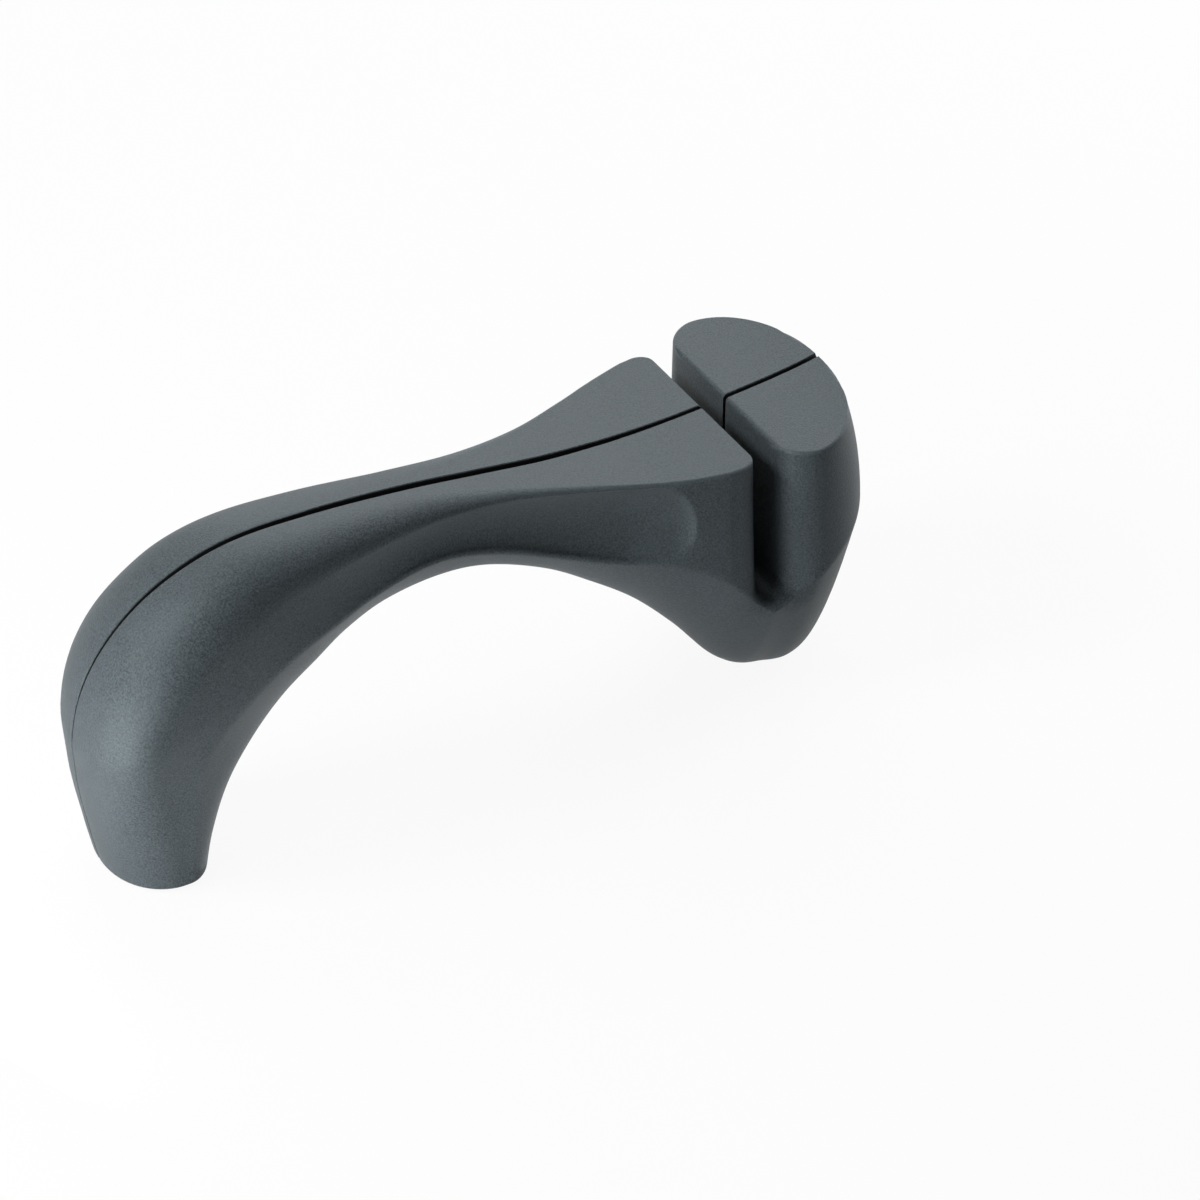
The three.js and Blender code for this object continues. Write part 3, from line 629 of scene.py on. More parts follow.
class Skin:
    """Surface of one half of the casing, for y above zero: rings with the slot's walls and floor."""

    def __init__(self, inset):
        self.inset = inset
        self.points = []
        self.wear = []
        self.faces = []
        self.seam = []
        self.build()

    def add(self, points):
        first = len(self.points)
        self.points += points
        self.wear += [0.0] * len(points)
        return list(range(first, len(self.points)))

    def add_ring(self, row):
        """Whole ring of a row, rubbed along its top edge where that is crisp."""
        index = self.add(full_ring(row, self.inset))
        self.seam += [index[0], index[-1]]
        crisp = 1 - smoothstep(row["across"], *WEAR_FADE)
        for i in range(EDGE_STEPS):
            self.wear[index[TOP_COUNT + i]] = crisp * math.sin(math.pi * (i + 1) / EDGE_STEPS)
        return index

    def strip(self, one, two):
        self.faces += strip_faces(one, two)

    def build(self):
        left = [self.add_ring(row) for row in self.left_rows()]
        right = [self.add_ring(block_row(x, self.inset)) for x in nub_places(self.inset)]
        for rows in (left, right):
            for one, two in zip(rows, rows[1:]):
                self.strip(one, two)
        self.close_sole(left[0])
        self.close_nose(right[-1])
        head_columns = self.slot_wall(left[-1], 1)
        nub_columns = self.slot_wall(right[0], -1)
        self.bridge(left[-1], right[0], head_columns, nub_columns)

    def left_rows(self):
        rows = leg_and_handle()
        edge = [sole_edge_row(rows[0], turn) for turn in spread(SOLE_STEPS)[:-1]]
        rows = edge + rows
        if self.inset > 0:
            rows = [inset_row(row, self.inset) for row in rows]
        return rows + [block_row(x, self.inset) for x in head_places(self.inset)]

    def close_sole(self, ring):
        """Flat sole of the plain leg, from its lowest ring in to the groove."""
        seam = SECTIONS[0]["seam"]
        line = [ring[0]] * SOLE_FIRST
        for i in ring[SOLE_FIRST:-SOLE_LAST]:
            x, _, z = self.points[i]
            line += self.add([(x, seam, z)])
            self.seam.append(line[-1])
        line += [ring[-1]] * SOLE_LAST
        self.strip(line, ring)

    def close_nose(self, ring):
        apex = self.add([(NOSE_X - self.inset, SEAM_HEAD, NOSE_Z)])[0]
        self.seam.append(apex)
        for a, b in zip(ring, ring[1:]):
            self.faces.append((a, b, apex))

    def slot_wall(self, ring, way):
        """Flat wall beside the slot. Returns its line of points at the channel's middle."""
        x = self.points[ring[0]][0]
        above = ring[1:TOP_COUNT]
        rows = [above]
        for k in range(1, WALL_ROWS + 1):
            edge = ring[TOP_COUNT - 1 + k]
            _, width, z = self.points[edge]
            inner = [(x, lerp(WINDOW_HALF, width, share), z) for share in wall_shares()]
            if k <= WINDOW_ROW:
                inner = [(x, SEAM_HEAD, z), *inner]
            line = self.add(inner)
            if k <= WINDOW_ROW:
                self.seam.append(line[0])
            rows.append([*line, edge])
        before = len(self.faces)
        self.faces.append((ring[0], rows[0][0], rows[1][0]))
        for one, two in zip(rows, rows[1:]):
            self.strip(one[len(one) - len(two):], two)
        if way < 0:
            self.faces[before:] = [face[::-1] for face in self.faces[before:]]
        return rows[-1]

    def bridge(self, head_ring, nub_ring, head_columns, nub_columns):
        half = SLOT_HALF + self.inset
        lines = [(head_columns, head_ring[MOUTH_INDEX:])]
        for step in range(1, BRIDGE_STEPS):
            ring = bridge_ring(SLOT_X - half * math.cos(math.pi * step / BRIDGE_STEPS), self.inset)
            index = self.add(ring)
            self.seam.append(index[-1])
            x, width, z = ring[0]
            floor = self.add([(x, lerp(WINDOW_HALF, width, share), z) for share in wall_shares()])
            lines.append(([*floor, index[0]], index))
        lines.append((nub_columns, nub_ring[MOUTH_INDEX:]))
        for (floor_one, ring_one), (floor_two, ring_two) in zip(lines, lines[1:]):
            self.strip(floor_one, floor_two)
            self.strip(ring_one, ring_two)


def open_edges(faces):
    """Edges with one face, in that face's direction."""
    seen = {}
    for face in faces:
        for a, b in zip(face, face[1:] + face[:1]):
            seen[(a, b)] = True
    return [edge for edge in seen if edge[::-1] not in seen]


def raise_bosses(points):
    """Pulls the inside surface in to the groove round each screw, which leaves solid bosses there."""
    for i, (x, y, z) in enumerate(points):
        gap = min(math.hypot(x - sx, z - sz) for sx, sz in SCREWS)
        if gap < BOSS_RADIUS + BOSS_BLEND and y > SEAM_WAIST:
            away = smoothstep(gap, BOSS_RADIUS, BOSS_RADIUS + BOSS_BLEND)
            points[i] = (x, lerp(SEAM_WAIST + BOSS_GAP, y, away), z)


WEAR = "wear"


def shell_mesh(name, side, tongue):
    """Closed half shell, of side -1 for the front and 1 for the rear. A tongue fills the groove's foot."""
    outer = Skin(0)
    inner = Skin(WALL)
    raise_bosses(inner.points)
    count = len(outer.points)
    points = outer.points + inner.points
    faces = list(outer.faces) + [tuple(i + count for i in face[::-1]) for face in outer.faces]
    grey = len(outer.faces)
    steps = {}
    if tongue:
        foot = Skin(GROOVE_DEPTH)
        for i in outer.seam:
            x, y, z = foot.points[i]
            inner_x, _, inner_z = inner.points[i]
            reach = TONGUE_GAP - y
            start = len(points)
            points += [(x, y, z), (x, reach, z), (inner_x, reach, inner_z)]
            steps[i] = [i, start, start + 1, start + 2, i + count]
    starts = set()
    ends = set()
    for a, b in open_edges(outer.faces):
        line_a, line_b = [a, a + count], [b, b + count]
        if a in steps and b in steps:
            line_a, line_b = steps[a], steps[b]
            starts.add(a)
            ends.add(b)
        faces += zip(line_b, line_a, line_a[1:], line_b[1:])
    faces += [tuple(steps[i][::-1]) for i in starts - ends]
    faces += [tuple(steps[i]) for i in ends - starts]
    if side > 0:
        faces = [face[::-1] for face in faces]
    mesh = bpy.data.meshes.new(name)
    mesh.from_pydata([(x * MM, side * y * MM, z * MM) for x, y, z in points], [], faces)
    # The outside is grey. The inside, the rims and the tongue take the second material, black, which is
    # painted shade along the groove between the shells.
    for polygon in mesh.polygons:
        polygon.material_index = 0 if polygon.index < grey else 1
    wear = outer.wear + [0.0] * (len(points) - count)
    mesh.attributes.new(WEAR, "FLOAT", "POINT").data.foreach_set("value", wear)
    return mesh


def make_mesh(name, points, faces):
    mesh = bpy.data.meshes.new(name)
    mesh.from_pydata([(x * MM, y * MM, z * MM) for x, y, z in points], [], faces)
    mesh.validate()
    return mesh


def add_object(name, mesh):
    piece = bpy.data.objects.new(name, mesh)
    bpy.context.scene.collection.objects.link(piece)
    return piece


def apply_modifiers(piece):
    graph = bpy.context.evaluated_depsgraph_get()
    mesh = bpy.data.meshes.new_from_object(piece.evaluated_get(graph))
    piece.modifiers.clear()
    piece.data = mesh


# Lengths under which points are joined and edges are taken out
JOIN_LENGTH = 0.004
VANISH_LENGTH = 0.002


def clean(mesh):
    """Joins points that fall together, and takes out the faces that vanish with them."""
    work = bmesh.new()
    work.from_mesh(mesh)
    bmesh.ops.remove_doubles(work, verts=work.verts, dist=JOIN_LENGTH * MM)
    bmesh.ops.dissolve_degenerate(work, edges=work.edges, dist=VANISH_LENGTH * MM)
    work.to_mesh(mesh)
    work.free()


def cut(piece, tools, look):
    """Cuts each tool mesh out of a piece, and leaves the cut faces in the given one of its materials."""
    clean(piece.data)
    for tool in tools:
        for material in piece.data.materials:
            tool.materials.append(material)
        tool.polygons.foreach_set("material_index", [look] * len(tool.polygons))
        cutter = add_object(tool.name, tool)
        modifier = piece.modifiers.new("cut", "BOOLEAN")
        modifier.operation = "DIFFERENCE"
        modifier.solver = "MANIFOLD"
        modifier.object = cutter
        apply_modifiers(piece)
        bpy.data.objects.remove(cutter)


def shade(piece, angle):
    """Smooth shading with crisp edges where the surface turns by more than an angle in degrees."""
    clean(piece.data)
    piece.data.shade_smooth()
    piece.data.set_sharp_from_angle(angle=math.radians(angle))
    piece.modifiers.new("even shading", "WEIGHTED_NORMAL").keep_sharp = True


# Solids of rings. A profile gives each ring's size and level, and outline gives the points of such a ring
TURN_SIDES = 96
ROD_SIDES = 48


def turns(sides):
    return [2 * math.pi * i / sides for i in range(sides)]


def swept(name, profile, outline, sides, closed=False):
    """Solid through its rings, where no size is a point. A closed one returns to its first ring."""
    points = []
    rings = []
    for size, level in profile:
        first = len(points)
        ring = outline(size, level)
        if size == 0:
            points.append(ring[0])
            rings.append([first] * (sides + 1))
        else:
            points += ring
            rings.append([*range(first, first + sides), first])
    if closed:
        rings.append(rings[0])
    faces = []
    for one, two in zip(rings, rings[1:]):
        faces += strip_faces(one, two)
    return make_mesh(name, points, faces)


def turned(name, profile, x, z, sides=TURN_SIDES, closed=False):
    """Turned piece from (radius, y) points, round a line along Y through (x, z)."""
    def circle(radius, y):
        return [(x + radius * math.sin(turn), y, z + radius * math.cos(turn)) for turn in turns(sides)]

    return swept(name, profile, circle, sides, closed)


def rod(name, radius, x, z, low, high):
    return turned(name, [(0, low), (radius, low), (radius, high), (0, high)], x, z, ROD_SIDES)


def node_box(node):
    low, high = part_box(node)
    return np.array(low) / MM, np.array(high) / MM


# Sharpening wheels, spacers and axles
AXLE_RADIUS = 1.6
AXLE_CHAMFER = 0.3
AXLE_MARK = 0.4
RUNNING = 0.06
WHEEL_RADIUS = 8.317
WHEEL_CHAMFER = 0.3
WHEEL_CROWN = 0.04
WHEEL_DISH = 0.18
DISH_SLOPE = 0.35
BORE_CHAMFER = 0.15
HUB_RIM = 0.4
BAND_WIDTH = 2.4
SPACER_RIM = 1.8
SPACER_CHAMFER = 0.2
ROLLER_ANGLE = 25


def wheel_profile(low, high):
    """Disc with chamfered rims, and a shallow dish in both faces between hub and grinding band."""
    bore = AXLE_RADIUS + RUNNING
    hub = bore + SPACER_RIM + HUB_RIM
    outer = WHEEL_RADIUS
    band = outer - BAND_WIDTH
    shoulder = outer - WHEEL_CROWN

    def face(y, way):
        dish = y + way * WHEEL_DISH
        return [(bore + BORE_CHAMFER, y), (hub, y), (hub + DISH_SLOPE, dish), (band - DISH_SLOPE, dish),
                (band, y), (outer - WHEEL_CHAMFER, y)]

    hole = [(bore, high - BORE_CHAMFER), (bore, low + BORE_CHAMFER)]
    rim = [(shoulder, low + WHEEL_CHAMFER), (outer, (low + high) / 2), (shoulder, high - WHEEL_CHAMFER)]
    return [*hole, *face(low, 1), *rim, *face(high, -1)[::-1]]


def spacer_profile(low, high):
    bore = AXLE_RADIUS + RUNNING
    outer = bore + SPACER_RIM
    c = SPACER_CHAMFER
    return [(bore, high - c), (bore, low + c), (bore + c, low), (outer - c, low), (outer, low + c),
            (outer, high - c), (outer - c, high), (bore + c, high)]


def axle_profile(low, high):
    """Pin with chamfered ends and a small centre mark in each."""
    r, c, mark = AXLE_RADIUS, AXLE_CHAMFER, AXLE_MARK
    return [(0, low + mark), (mark, low), (r - c, low), (r, low + c), (r, high - c), (r - c, high),
            (mark, high), (0, high - mark)]


def add_rollers(ceramic, black_and_groove_shade, steel):
    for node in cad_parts:
        side, _, kind = node.partition("_")
        kind = kind.split("_")[0]
        if kind not in ("wheel", "spacer", "axle"):
            continue
        low, high = node_box(node)
        x, _, z = (low + high) / 2
        if kind == "axle":
            profile, look, slot = axle_profile, steel, "bright_steel"
        elif kind == "wheel":
            profile, look, slot = wheel_profile, ceramic, "ceramic"
        else:
            profile, look, slot = spacer_profile, black_and_groove_shade, "inner_black"
        mesh = turned(node + "_turned", profile(low[1], high[1]), x, z, closed=kind != "axle")
        add_piece(mesh, look, side + "_roller", node, ROLLER_ANGLE)


def add_piece(mesh, look, body, node, angle, tools=()):
    piece = add_object(mesh.name, mesh)
    mesh.materials.append(look)
    if tools:
        cut(piece, tools, 0)
    shade(piece, angle)
    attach(piece, body)
    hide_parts(node)


# Screws along Y from the rear: a domed head with a cross recess, a ridged shank and a point
SCREW_RADIUS = 1.3
SCREW_CORE = 1.05
SCREW_LENGTH = 11
SCREW_POINT = 1.5
SCREW_NECK = 1
THREAD_PITCH = 0.8
SCREW_HEAD_RADIUS = 2.6
SCREW_HEAD_HEIGHT = 2
SCREW_HEAD_EDGE = 0.1
DOME_SHARE = 0.55
DOME_FULL = 0.7
DOME_STEPS = 10
RECESS_ARM = 1.56
RECESS_HALF = 0.4
RECESS_DEPTH = 1.1
RECESS_PAST = 0.5
RECESS_TAPER = (0.72, 1.1)
SCREW_SIDES = 64
SCREW_ANGLE = 30


def screw_profile():
    tip = SCREW_SEAT - SCREW_LENGTH
    profile = [(0, tip), (SCREW_CORE, tip + SCREW_POINT)]
    y = tip + SCREW_POINT
    while y + THREAD_PITCH < SCREW_SEAT - SCREW_NECK:
        profile += [(SCREW_CORE, y + 0.25 * THREAD_PITCH), (SCREW_RADIUS, y + 0.5 * THREAD_PITCH),
                    (SCREW_CORE, y + 0.75 * THREAD_PITCH)]
        y += THREAD_PITCH
    profile += [(SCREW_CORE, SCREW_SEAT), (SCREW_HEAD_RADIUS - SCREW_HEAD_EDGE, SCREW_SEAT),
                (SCREW_HEAD_RADIUS, SCREW_SEAT + SCREW_HEAD_EDGE)]
    top = SCREW_SEAT + SCREW_HEAD_HEIGHT
    dome = DOME_SHARE * SCREW_HEAD_HEIGHT
    for turn in spread(DOME_STEPS)[:-1]:
        radius = SCREW_HEAD_RADIUS * math.cos(turn) ** DOME_FULL
        profile.append((radius, top - dome * (1 - math.sin(turn))))
    profile.append((0, top))
    return profile


def recess_arm(name, x, z, half_x, half_z):
    """Tapered bar that cuts one stroke of the cross recess."""
    top = SCREW_SEAT + SCREW_HEAD_HEIGHT
    points = []
    for y, share in zip((top - RECESS_DEPTH, top + RECESS_PAST), RECESS_TAPER):
        for sx, sz in ((-1, -1), (1, -1), (1, 1), (-1, 1)):
            points.append((x + sx * half_x * share, y, z + sz * half_z * share))
    faces = [(0, 1, 2, 3), (7, 6, 5, 4), (0, 4, 5, 1), (1, 5, 6, 2), (2, 6, 7, 3), (3, 7, 4, 0)]
    return make_mesh(name, points, faces)


def add_screws(steel):
    for number, (x, z) in enumerate(SCREWS, start=1):
        node = f"shell_screw_{number}"
        mesh = turned(node + "_turned", screw_profile(), x, z, SCREW_SIDES)
        recess = [
            recess_arm("recess_across", x, z, RECESS_ARM, RECESS_HALF),
            recess_arm("recess_upright", x, z, RECESS_HALF, RECESS_ARM),
        ]
        add_piece(mesh, steel, "casing", node, SCREW_ANGLE, recess)


# Foot pads: oval rubber with a rounded lower edge and two oval grooves underneath, as shares of the oval
PAD_SIDES = 120
PAD_GROOVES = (0.3, 0.6)
PAD_GROOVE_WIDTH = 0.12
PAD_GROOVE_SLOPE = 0.02
PAD_GROOVE_DEPTH = 0.35
PAD_ROUND_WIDTH = 0.08
PAD_ROUND_HEIGHT = 0.5
PAD_ROUND_STEPS = 6
PAD_TOP_WIDTH = 0.985
PAD_TOP_HEIGHT = 0.1
PAD_ANGLE = 35


def oval(name, x, profile):
    """Closed solid from (share of the oval, z) points, from the middle of its foot to that of its top."""
    def outline(share, z):
        across = PAD_LENGTH / 2 * share
        along = PAD_WIDTH / 2 * share
        return [(x + across * math.cos(turn), along * math.sin(turn), z) for turn in turns(PAD_SIDES)]

    return swept(name, profile, outline, PAD_SIDES)


def pad_profile():
    profile = [(0, 0)]
    for start in PAD_GROOVES:
        end = start + PAD_GROOVE_WIDTH
        profile += [(start, 0), (start + PAD_GROOVE_SLOPE, PAD_GROOVE_DEPTH),
                    (end - PAD_GROOVE_SLOPE, PAD_GROOVE_DEPTH), (end, 0)]
    for turn in spread(PAD_ROUND_STEPS):
        share = 1 - PAD_ROUND_WIDTH * (1 - math.sin(turn))
        profile.append((share, PAD_ROUND_HEIGHT * (1 - math.cos(turn))))
    profile += [(1, PAD_THICKNESS - PAD_TOP_HEIGHT), (PAD_TOP_WIDTH, PAD_THICKNESS), (0, PAD_THICKNESS)]
    return profile


def add_pads(rubber):
    for node, x in PADS.items():
        mesh = oval(node + "_moulded", x, pad_profile())
        add_piece(mesh, rubber, "casing", node, PAD_ANGLE)


# Casing: both shells, with recesses and screw holes that reach past the surfaces they cut
PAST_SOLE = -1
PAST_GROOVE = 2
PAST_SEAT = 1
PAST_SIDE = 60
SHELL_ANGLE = 40


def add_casing(grey, black_and_groove_shade):
    recess = 1 + 2 * PAD_FIT / PAD_LENGTH
    roof = PAD_THICKNESS + PAD_FIT
    recess_profile = [(0, PAST_SOLE), (recess, PAST_SOLE), (recess, roof), (0, roof)]
    for name, side, tongue in (("front_shell", -1, True), ("rear_shell", 1, False)):
        piece = add_object(name + "_moulded", shell_mesh(name + "_moulded", side, tongue))
        piece.data.materials.append(grey)
        # Second material: black inside the shell, and painted shade along the groove between the shells.
        piece.data.materials.append(black_and_groove_shade)
        tools = [oval("recess", x, recess_profile) for x in PADS.values()]
        for x, z in SCREWS:
            if side < 0:
                tools.append(rod("pilot", PILOT_HOLE, x, z, PILOT_END, PAST_GROOVE))
            else:
                tools.append(rod("shank_hole", SHANK_HOLE, x, z, -PAST_GROOVE, SCREW_SEAT + PAST_SEAT))
                tools.append(rod("sink", SINK_RADIUS, x, z, SCREW_SEAT, PAST_SIDE))
        cut(piece, tools, 1)
        shade(piece, SHELL_ANGLE)
        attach(piece, "casing")
        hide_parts(name)


class Tree:
    """Short calls for the nodes of a material or the surround."""

    def __init__(self, owner):
        owner.use_nodes = True
        self.nodes = owner.node_tree.nodes
        self.links = owner.node_tree.links

    def fill(self, socket, value):
        """Gives a socket a plain value or colour, or a node's output."""
        if isinstance(value, bpy.types.NodeSocket):
            self.links.new(value, socket)
        elif isinstance(value, tuple):
            socket.default_value = (*value, 1)
        else:
            socket.default_value = value

    def math(self, operation, one, two):
        node = self.nodes.new("ShaderNodeMath")
        node.operation = operation
        self.fill(node.inputs[0], one)
        self.fill(node.inputs[1], two)
        return node.outputs[0]

    def span(self, value, low, high, to_low, to_high, smooth=False):
        node = self.nodes.new("ShaderNodeMapRange")
        if smooth:
            node.interpolation_type = "SMOOTHSTEP"
        for number, setting in enumerate((value, low, high, to_low, to_high)):
            self.fill(node.inputs[number], setting)
        return node.outputs["Result"]

    def seen(self):
        """1 for the rays that show the background, straight or in metal and glass."""
        rays = self.nodes.new("ShaderNodeLightPath").outputs
        straight = self.math("MAXIMUM", rays["Is Camera Ray"], rays["Is Glossy Ray"])
        return self.math("MAXIMUM", straight, rays["Is Transmission Ray"])


class Paint(Tree):
    """Node tree of one material round its shader. Sizes of its grain are in millimetres."""

    def __init__(self, name):
        self.material = bpy.data.materials.new(name)
        super().__init__(self.material)
        self.shader = self.nodes["Principled BSDF"]
        self.place = self.nodes.new("ShaderNodeTexCoord").outputs["Object"]

    def set(self, **values):
        for name, value in values.items():
            self.fill(self.shader.inputs[name.replace("_", " ")], value)

    def link(self, value, name):
        self.links.new(value, self.shader.inputs[name])

    def noise(self, size, detail=2, rough=0.5, stretch=(1, 1, 1)):
        place = self.nodes.new("ShaderNodeMapping")
        place.inputs["Scale"].default_value = stretch
        self.links.new(self.place, place.inputs["Vector"])
        node = self.nodes.new("ShaderNodeTexNoise")
        node.inputs["Scale"].default_value = 1 / (size * MM)
        node.inputs["Detail"].default_value = detail
        node.inputs["Roughness"].default_value = rough
        self.links.new(place.outputs["Vector"], node.inputs["Vector"])
        return node.outputs["Fac"]

    def mix(self, share, one, two):
        """Mixes two colours, each a plain colour or a node's output, by a share."""
        node = self.nodes.new("ShaderNodeMix")
        node.data_type = "RGBA"
        for number, value in ((0, share), (6, one), (7, two)):
            self.fill(node.inputs[number], value)
        return node.outputs[2]

    def bump(self, height, depth, strength=1.0):
        node = self.nodes.new("ShaderNodeBump")
        node.inputs["Strength"].default_value = strength
        node.inputs["Distance"].default_value = depth * MM
        self.links.new(height, node.inputs["Height"])
        self.link(node.outputs["Normal"], "Normal")

    def wear(self, most):
        """Share of wear, from 0 on the surfaces to most along the rubbed edges."""
        node = self.nodes.new("ShaderNodeAttribute")
        node.attribute_name = WEAR
        return self.span(node.outputs["Fac"], 0, 1, 0, most)


def soft_grey_plastic():
    """Blue-grey moulded plastic with a fine spark-eroded grain, paler where its edges are rubbed."""
    paint = Paint("soft_grey_plastic")
    grain = paint.noise(0.38, 3, 0.6)
    cloud = paint.noise(9, 3)
    light = paint.span(grain, 0.34, 0.66, 0, 1)
    speckle = paint.mix(light, (0.020, 0.0245, 0.0275), (0.060, 0.0725, 0.080))
    toned = paint.mix(paint.span(cloud, 0.3, 0.7, 0, 0.2), speckle, (0.048, 0.058, 0.064))
    paint.link(paint.mix(paint.wear(0.35), toned, (0.095, 0.115, 0.126)), "Base Color")
    paint.link(paint.span(grain, 0.3, 0.7, 0.42, 0.58), "Roughness")
    paint.set(Specular_IOR_Level=0.22, Specular_Tint=(0.80, 0.97, 1))
    paint.bump(grain, 0.12, 0.8)
    return paint.material


def black_plastic_and_groove_shade():
    """Black moulded plastic of the cradle, the spacers and the inside of the shells. Along the groove
    between the shells, on its walls and tongue, this black is painted shade.
    """
    paint = Paint("black_plastic_and_groove_shade")
    grain = paint.noise(0.3, 2)
    paint.link(paint.mix(grain, (0.003, 0.003, 0.0035), (0.009, 0.0095, 0.010)), "Base Color")
    paint.link(paint.span(grain, 0.3, 0.7, 0.5, 0.7), "Roughness")
    paint.bump(grain, 0.02, 0.4)
    return paint.material


def sharpening_ceramic():
    """Off-white sintered ceramic with open grain and a few darker grits."""
    paint = Paint("sharpening_ceramic")
    grain = paint.noise(0.18, 3, 0.7)
    grit = paint.noise(0.5, 1)
    body = paint.mix(grain, (0.62, 0.59, 0.52), (0.80, 0.78, 0.72))
    paint.link(paint.mix(paint.span(grit, 0.62, 0.72, 0, 0.6), body, (0.34, 0.32, 0.29)), "Base Color")
    paint.link(paint.span(grain, 0.3, 0.7, 0.7, 0.9), "Roughness")
    paint.bump(grain, 0.03, 0.6)
    return paint.material


def turned_steel():
    """Bright steel with fine turning marks across the pin's length."""
    paint = Paint("turned_steel")
    paint.set(Metallic=1)
    marks = paint.noise(0.6, 2, 0.6, (0.15, 6, 0.15))
    stain = paint.span(paint.noise(2.5, 3), 0.35, 0.7, 0, 0.5)
    paint.link(paint.mix(stain, (0.62, 0.63, 0.64), (0.42, 0.43, 0.44)), "Base Color")
    paint.link(paint.span(marks, 0.3, 0.7, 0.22, 0.42), "Roughness")
    paint.bump(marks, 0.006, 0.5)
    return paint.material


def pad_rubber():
    """Near-black rubber with a fine matt grain and dust in it."""
    paint = Paint("pad_rubber_moulded")
    grain = paint.noise(0.25, 3, 0.65)
    dust = paint.noise(3, 4, 0.6)
    body = paint.mix(grain, (0.010, 0.010, 0.011), (0.026, 0.026, 0.027))
    paint.link(paint.mix(paint.span(dust, 0.5, 0.8, 0, 0.5), body, (0.06, 0.058, 0.055)), "Base Color")
    paint.link(paint.span(grain, 0.3, 0.7, 0.75, 0.95), "Roughness")
    paint.bump(grain, 0.03, 0.7)
    return paint.material


# Cradle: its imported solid, with softened edges
CRADLE_EDGE = 0.25


def dress_cradle(black_and_groove_shade):
    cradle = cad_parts["wheel_cradle"]
    bevel = cradle.modifiers.new("soft edges", "BEVEL")
    bevel.width = CRADLE_EDGE * MM
    bevel.segments = 3
    bevel.limit_method = "ANGLE"
    for slot in cradle.material_slots:
        slot.link = "OBJECT"
        slot.material = black_and_groove_shade


# Stage: pale floor, soft light from above and behind, and a camera in the photograph's place
FLOOR_HALF = 6.0
FLOOR_GREY = 0.5
FLOOR_WHITE = 0.92
CAMERA_TARGET = (31.2, 0, 21.18)
CAMERA_DISTANCE = 716.95
CAMERA_AZIMUTH = -30
CAMERA_ELEVATION = 39
CAMERA_LENS = 101.4
CAMERA_SENSOR = 36


def add_camera():
    azimuth = math.radians(CAMERA_AZIMUTH)
    elevation = math.radians(CAMERA_ELEVATION)
    back = Vector((
        math.sin(azimuth) * math.cos(elevation),
        -math.cos(azimuth) * math.cos(elevation),
        math.sin(elevation),
    ))
    data = bpy.data.cameras.new("camera")
    data.lens = CAMERA_LENS
    data.sensor_width = CAMERA_SENSOR
    camera = add_object("camera", data)
    camera.location = (Vector(CAMERA_TARGET) + back * CAMERA_DISTANCE) * MM
    camera.rotation_euler = back.to_track_quat("Z", "Y").to_euler()
    bpy.context.scene.camera = camera


def add_floor():
    half = FLOOR_HALF / MM
    corners = [(-half, -half, 0), (half, -half, 0), (half, half, 0), (-half, half, 0)]
    floor = add_object("floor", make_mesh("floor", corners, [(0, 1, 2, 3)]))
    paint = bpy.data.materials.new("pale_floor")
    tree = Tree(paint)
    plain = tree.nodes["Principled BSDF"]
    plain.inputs["Base Color"].default_value = (FLOOR_GREY, FLOOR_GREY, FLOOR_GREY, 1)
    plain.inputs["Roughness"].default_value = 0.9
    plain.inputs["Specular IOR Level"].default_value = 0.1
    white = tree.nodes.new("ShaderNodeEmission")
    blend = tree.nodes.new("ShaderNodeMixShader")
    tree.links.new(tree.math("MULTIPLY", tree.seen(), FLOOR_WHITE), blend.inputs[0])
    tree.links.new(plain.outputs[0], blend.inputs[1])
    tree.links.new(white.outputs[0], blend.inputs[2])
    tree.links.new(blend.outputs[0], tree.nodes["Material Output"].inputs["Surface"])
    floor.data.materials.append(paint)


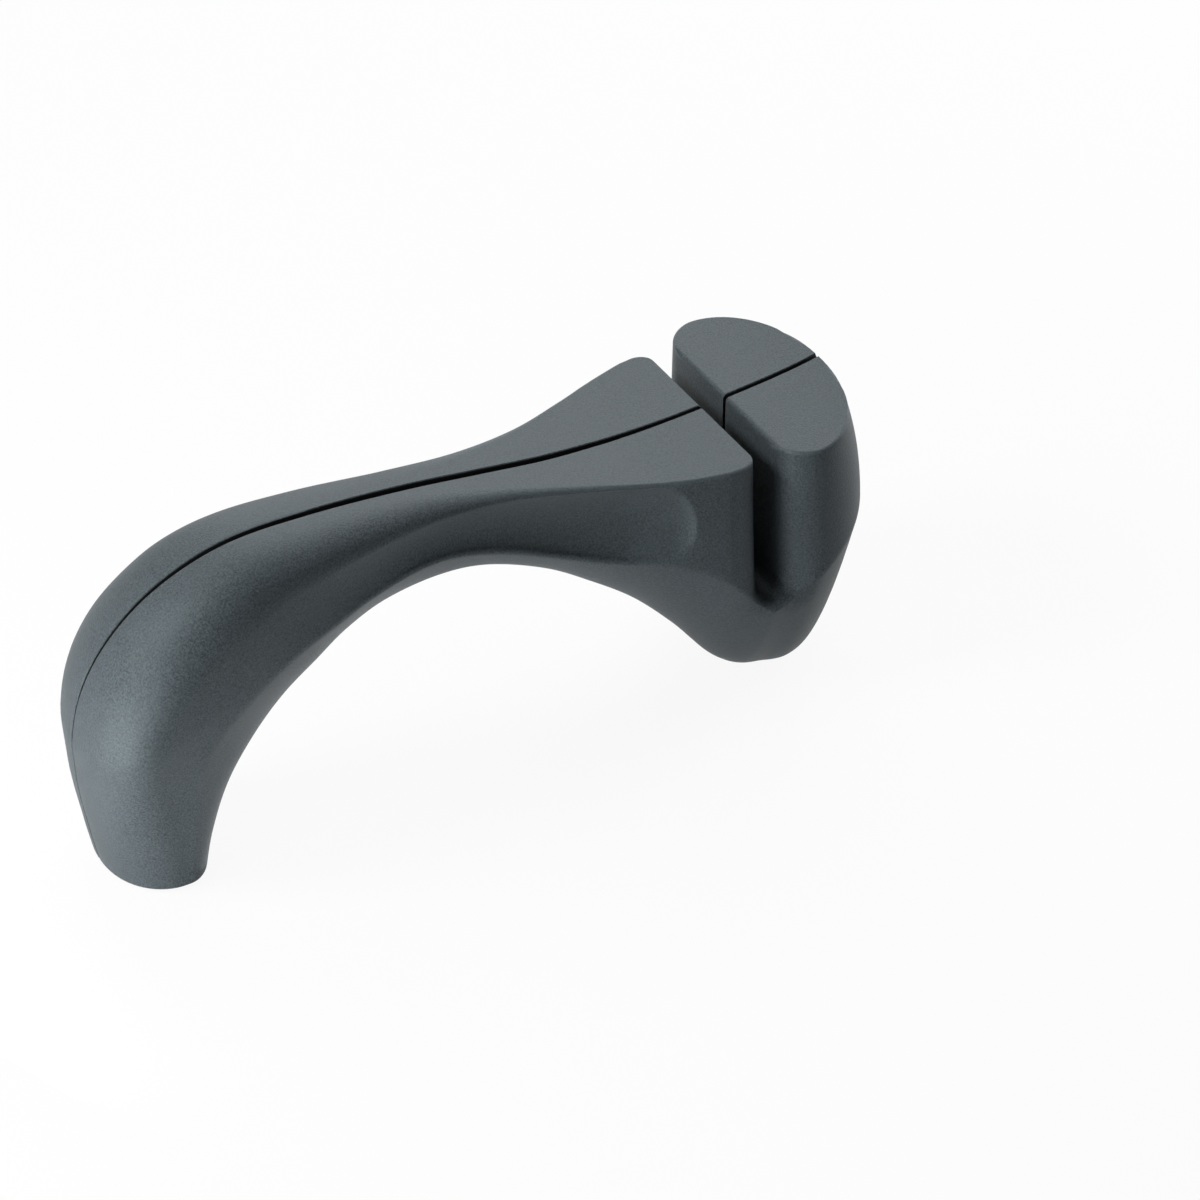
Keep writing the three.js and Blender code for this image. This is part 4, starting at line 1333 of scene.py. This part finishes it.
def add_world():
    """Dim studio, a little paler above and behind, with a low white backdrop all round it."""
    world = bpy.data.worlds.new("studio")
    bpy.context.scene.world = world
    tree = Tree(world)
    axes = tree.nodes.new("ShaderNodeSeparateXYZ")
    tree.links.new(tree.nodes.new("ShaderNodeTexCoord").outputs["Generated"], axes.inputs[0])
    height = tree.span(axes.outputs["Z"], -0.1, 0.75, 0.05, 0.25, smooth=True)
    depth = tree.span(axes.outputs["Y"], -0.6, 0.6, 0.2, 1, smooth=True)
    studio = tree.math("MULTIPLY", height, depth)
    low = tree.span(axes.outputs["Z"], 0.18, 0.26, 1, 0, smooth=True)
    backdrop = tree.math("MULTIPLY", tree.seen(), low)
    background = tree.nodes["Background"]
    tree.links.new(tree.math("MAXIMUM", studio, backdrop), background.inputs["Strength"])
    background.inputs["Color"].default_value = (1, 1, 1, 1)


def add_lamp(name, place, target, size, power, spread=180):
    data = bpy.data.lights.new(name, "AREA")
    data.shape = "RECTANGLE"
    data.size, data.size_y = size
    data.energy = power
    data.spread = math.radians(spread)
    lamp = add_object(name, data)
    lamp.location = place
    lamp.rotation_euler = (Vector(place) - Vector(target)).to_track_quat("Z", "Y").to_euler()
    lamp.visible_camera = False


def add_stage():
    add_camera()
    add_floor()
    add_world()
    add_lamp("back_right", (0.4, 0.75, 0.7), (0, 0, 0.05), (1.0, 0.8), 11.3)
    add_lamp("left_near", (-0.27, -0.06, 0.11), (-0.08, -0.012, 0.05), (0.14, 0.09), 0.26)
    add_lamp("left_top", (-0.45, 0.12, 0.5), (-0.07, 0, 0.05), (0.2, 0.2), 4.2)
    add_lamp("low_front", (-0.02, -0.28, 0.02), (-0.072, -0.016, 0.012), (0.15, 0.02), 0.012, 25)
    add_lamp("low_left", (-0.4, -0.06, 0.025), (-0.085, -0.01, 0.02), (0.3, 0.03), 0.065, 40)
    add_lamp("floor_left", (-0.13, -0.03, 0.003), (-0.085, -0.01, 0.04), (0.06, 0.1), 0.13)
    add_lamp("floor_middle", (-0.02, 0.0, 0.003), (-0.02, 0.0, 0.05), (0.1, 0.1), 0.016)
    add_lamp("right", (0.8, 0.1, 0.3), (0.06, 0, 0.04), (0.4, 0.5), 4.6)
    bpy.context.scene.view_settings.view_transform = "Standard"


grey = soft_grey_plastic()
black_and_groove_shade = black_plastic_and_groove_shade()
steel = turned_steel()
add_casing(grey, black_and_groove_shade)
add_rollers(sharpening_ceramic(), black_and_groove_shade, steel)
add_screws(steel)
add_pads(pad_rubber())
dress_cradle(black_and_groove_shade)
add_stage()
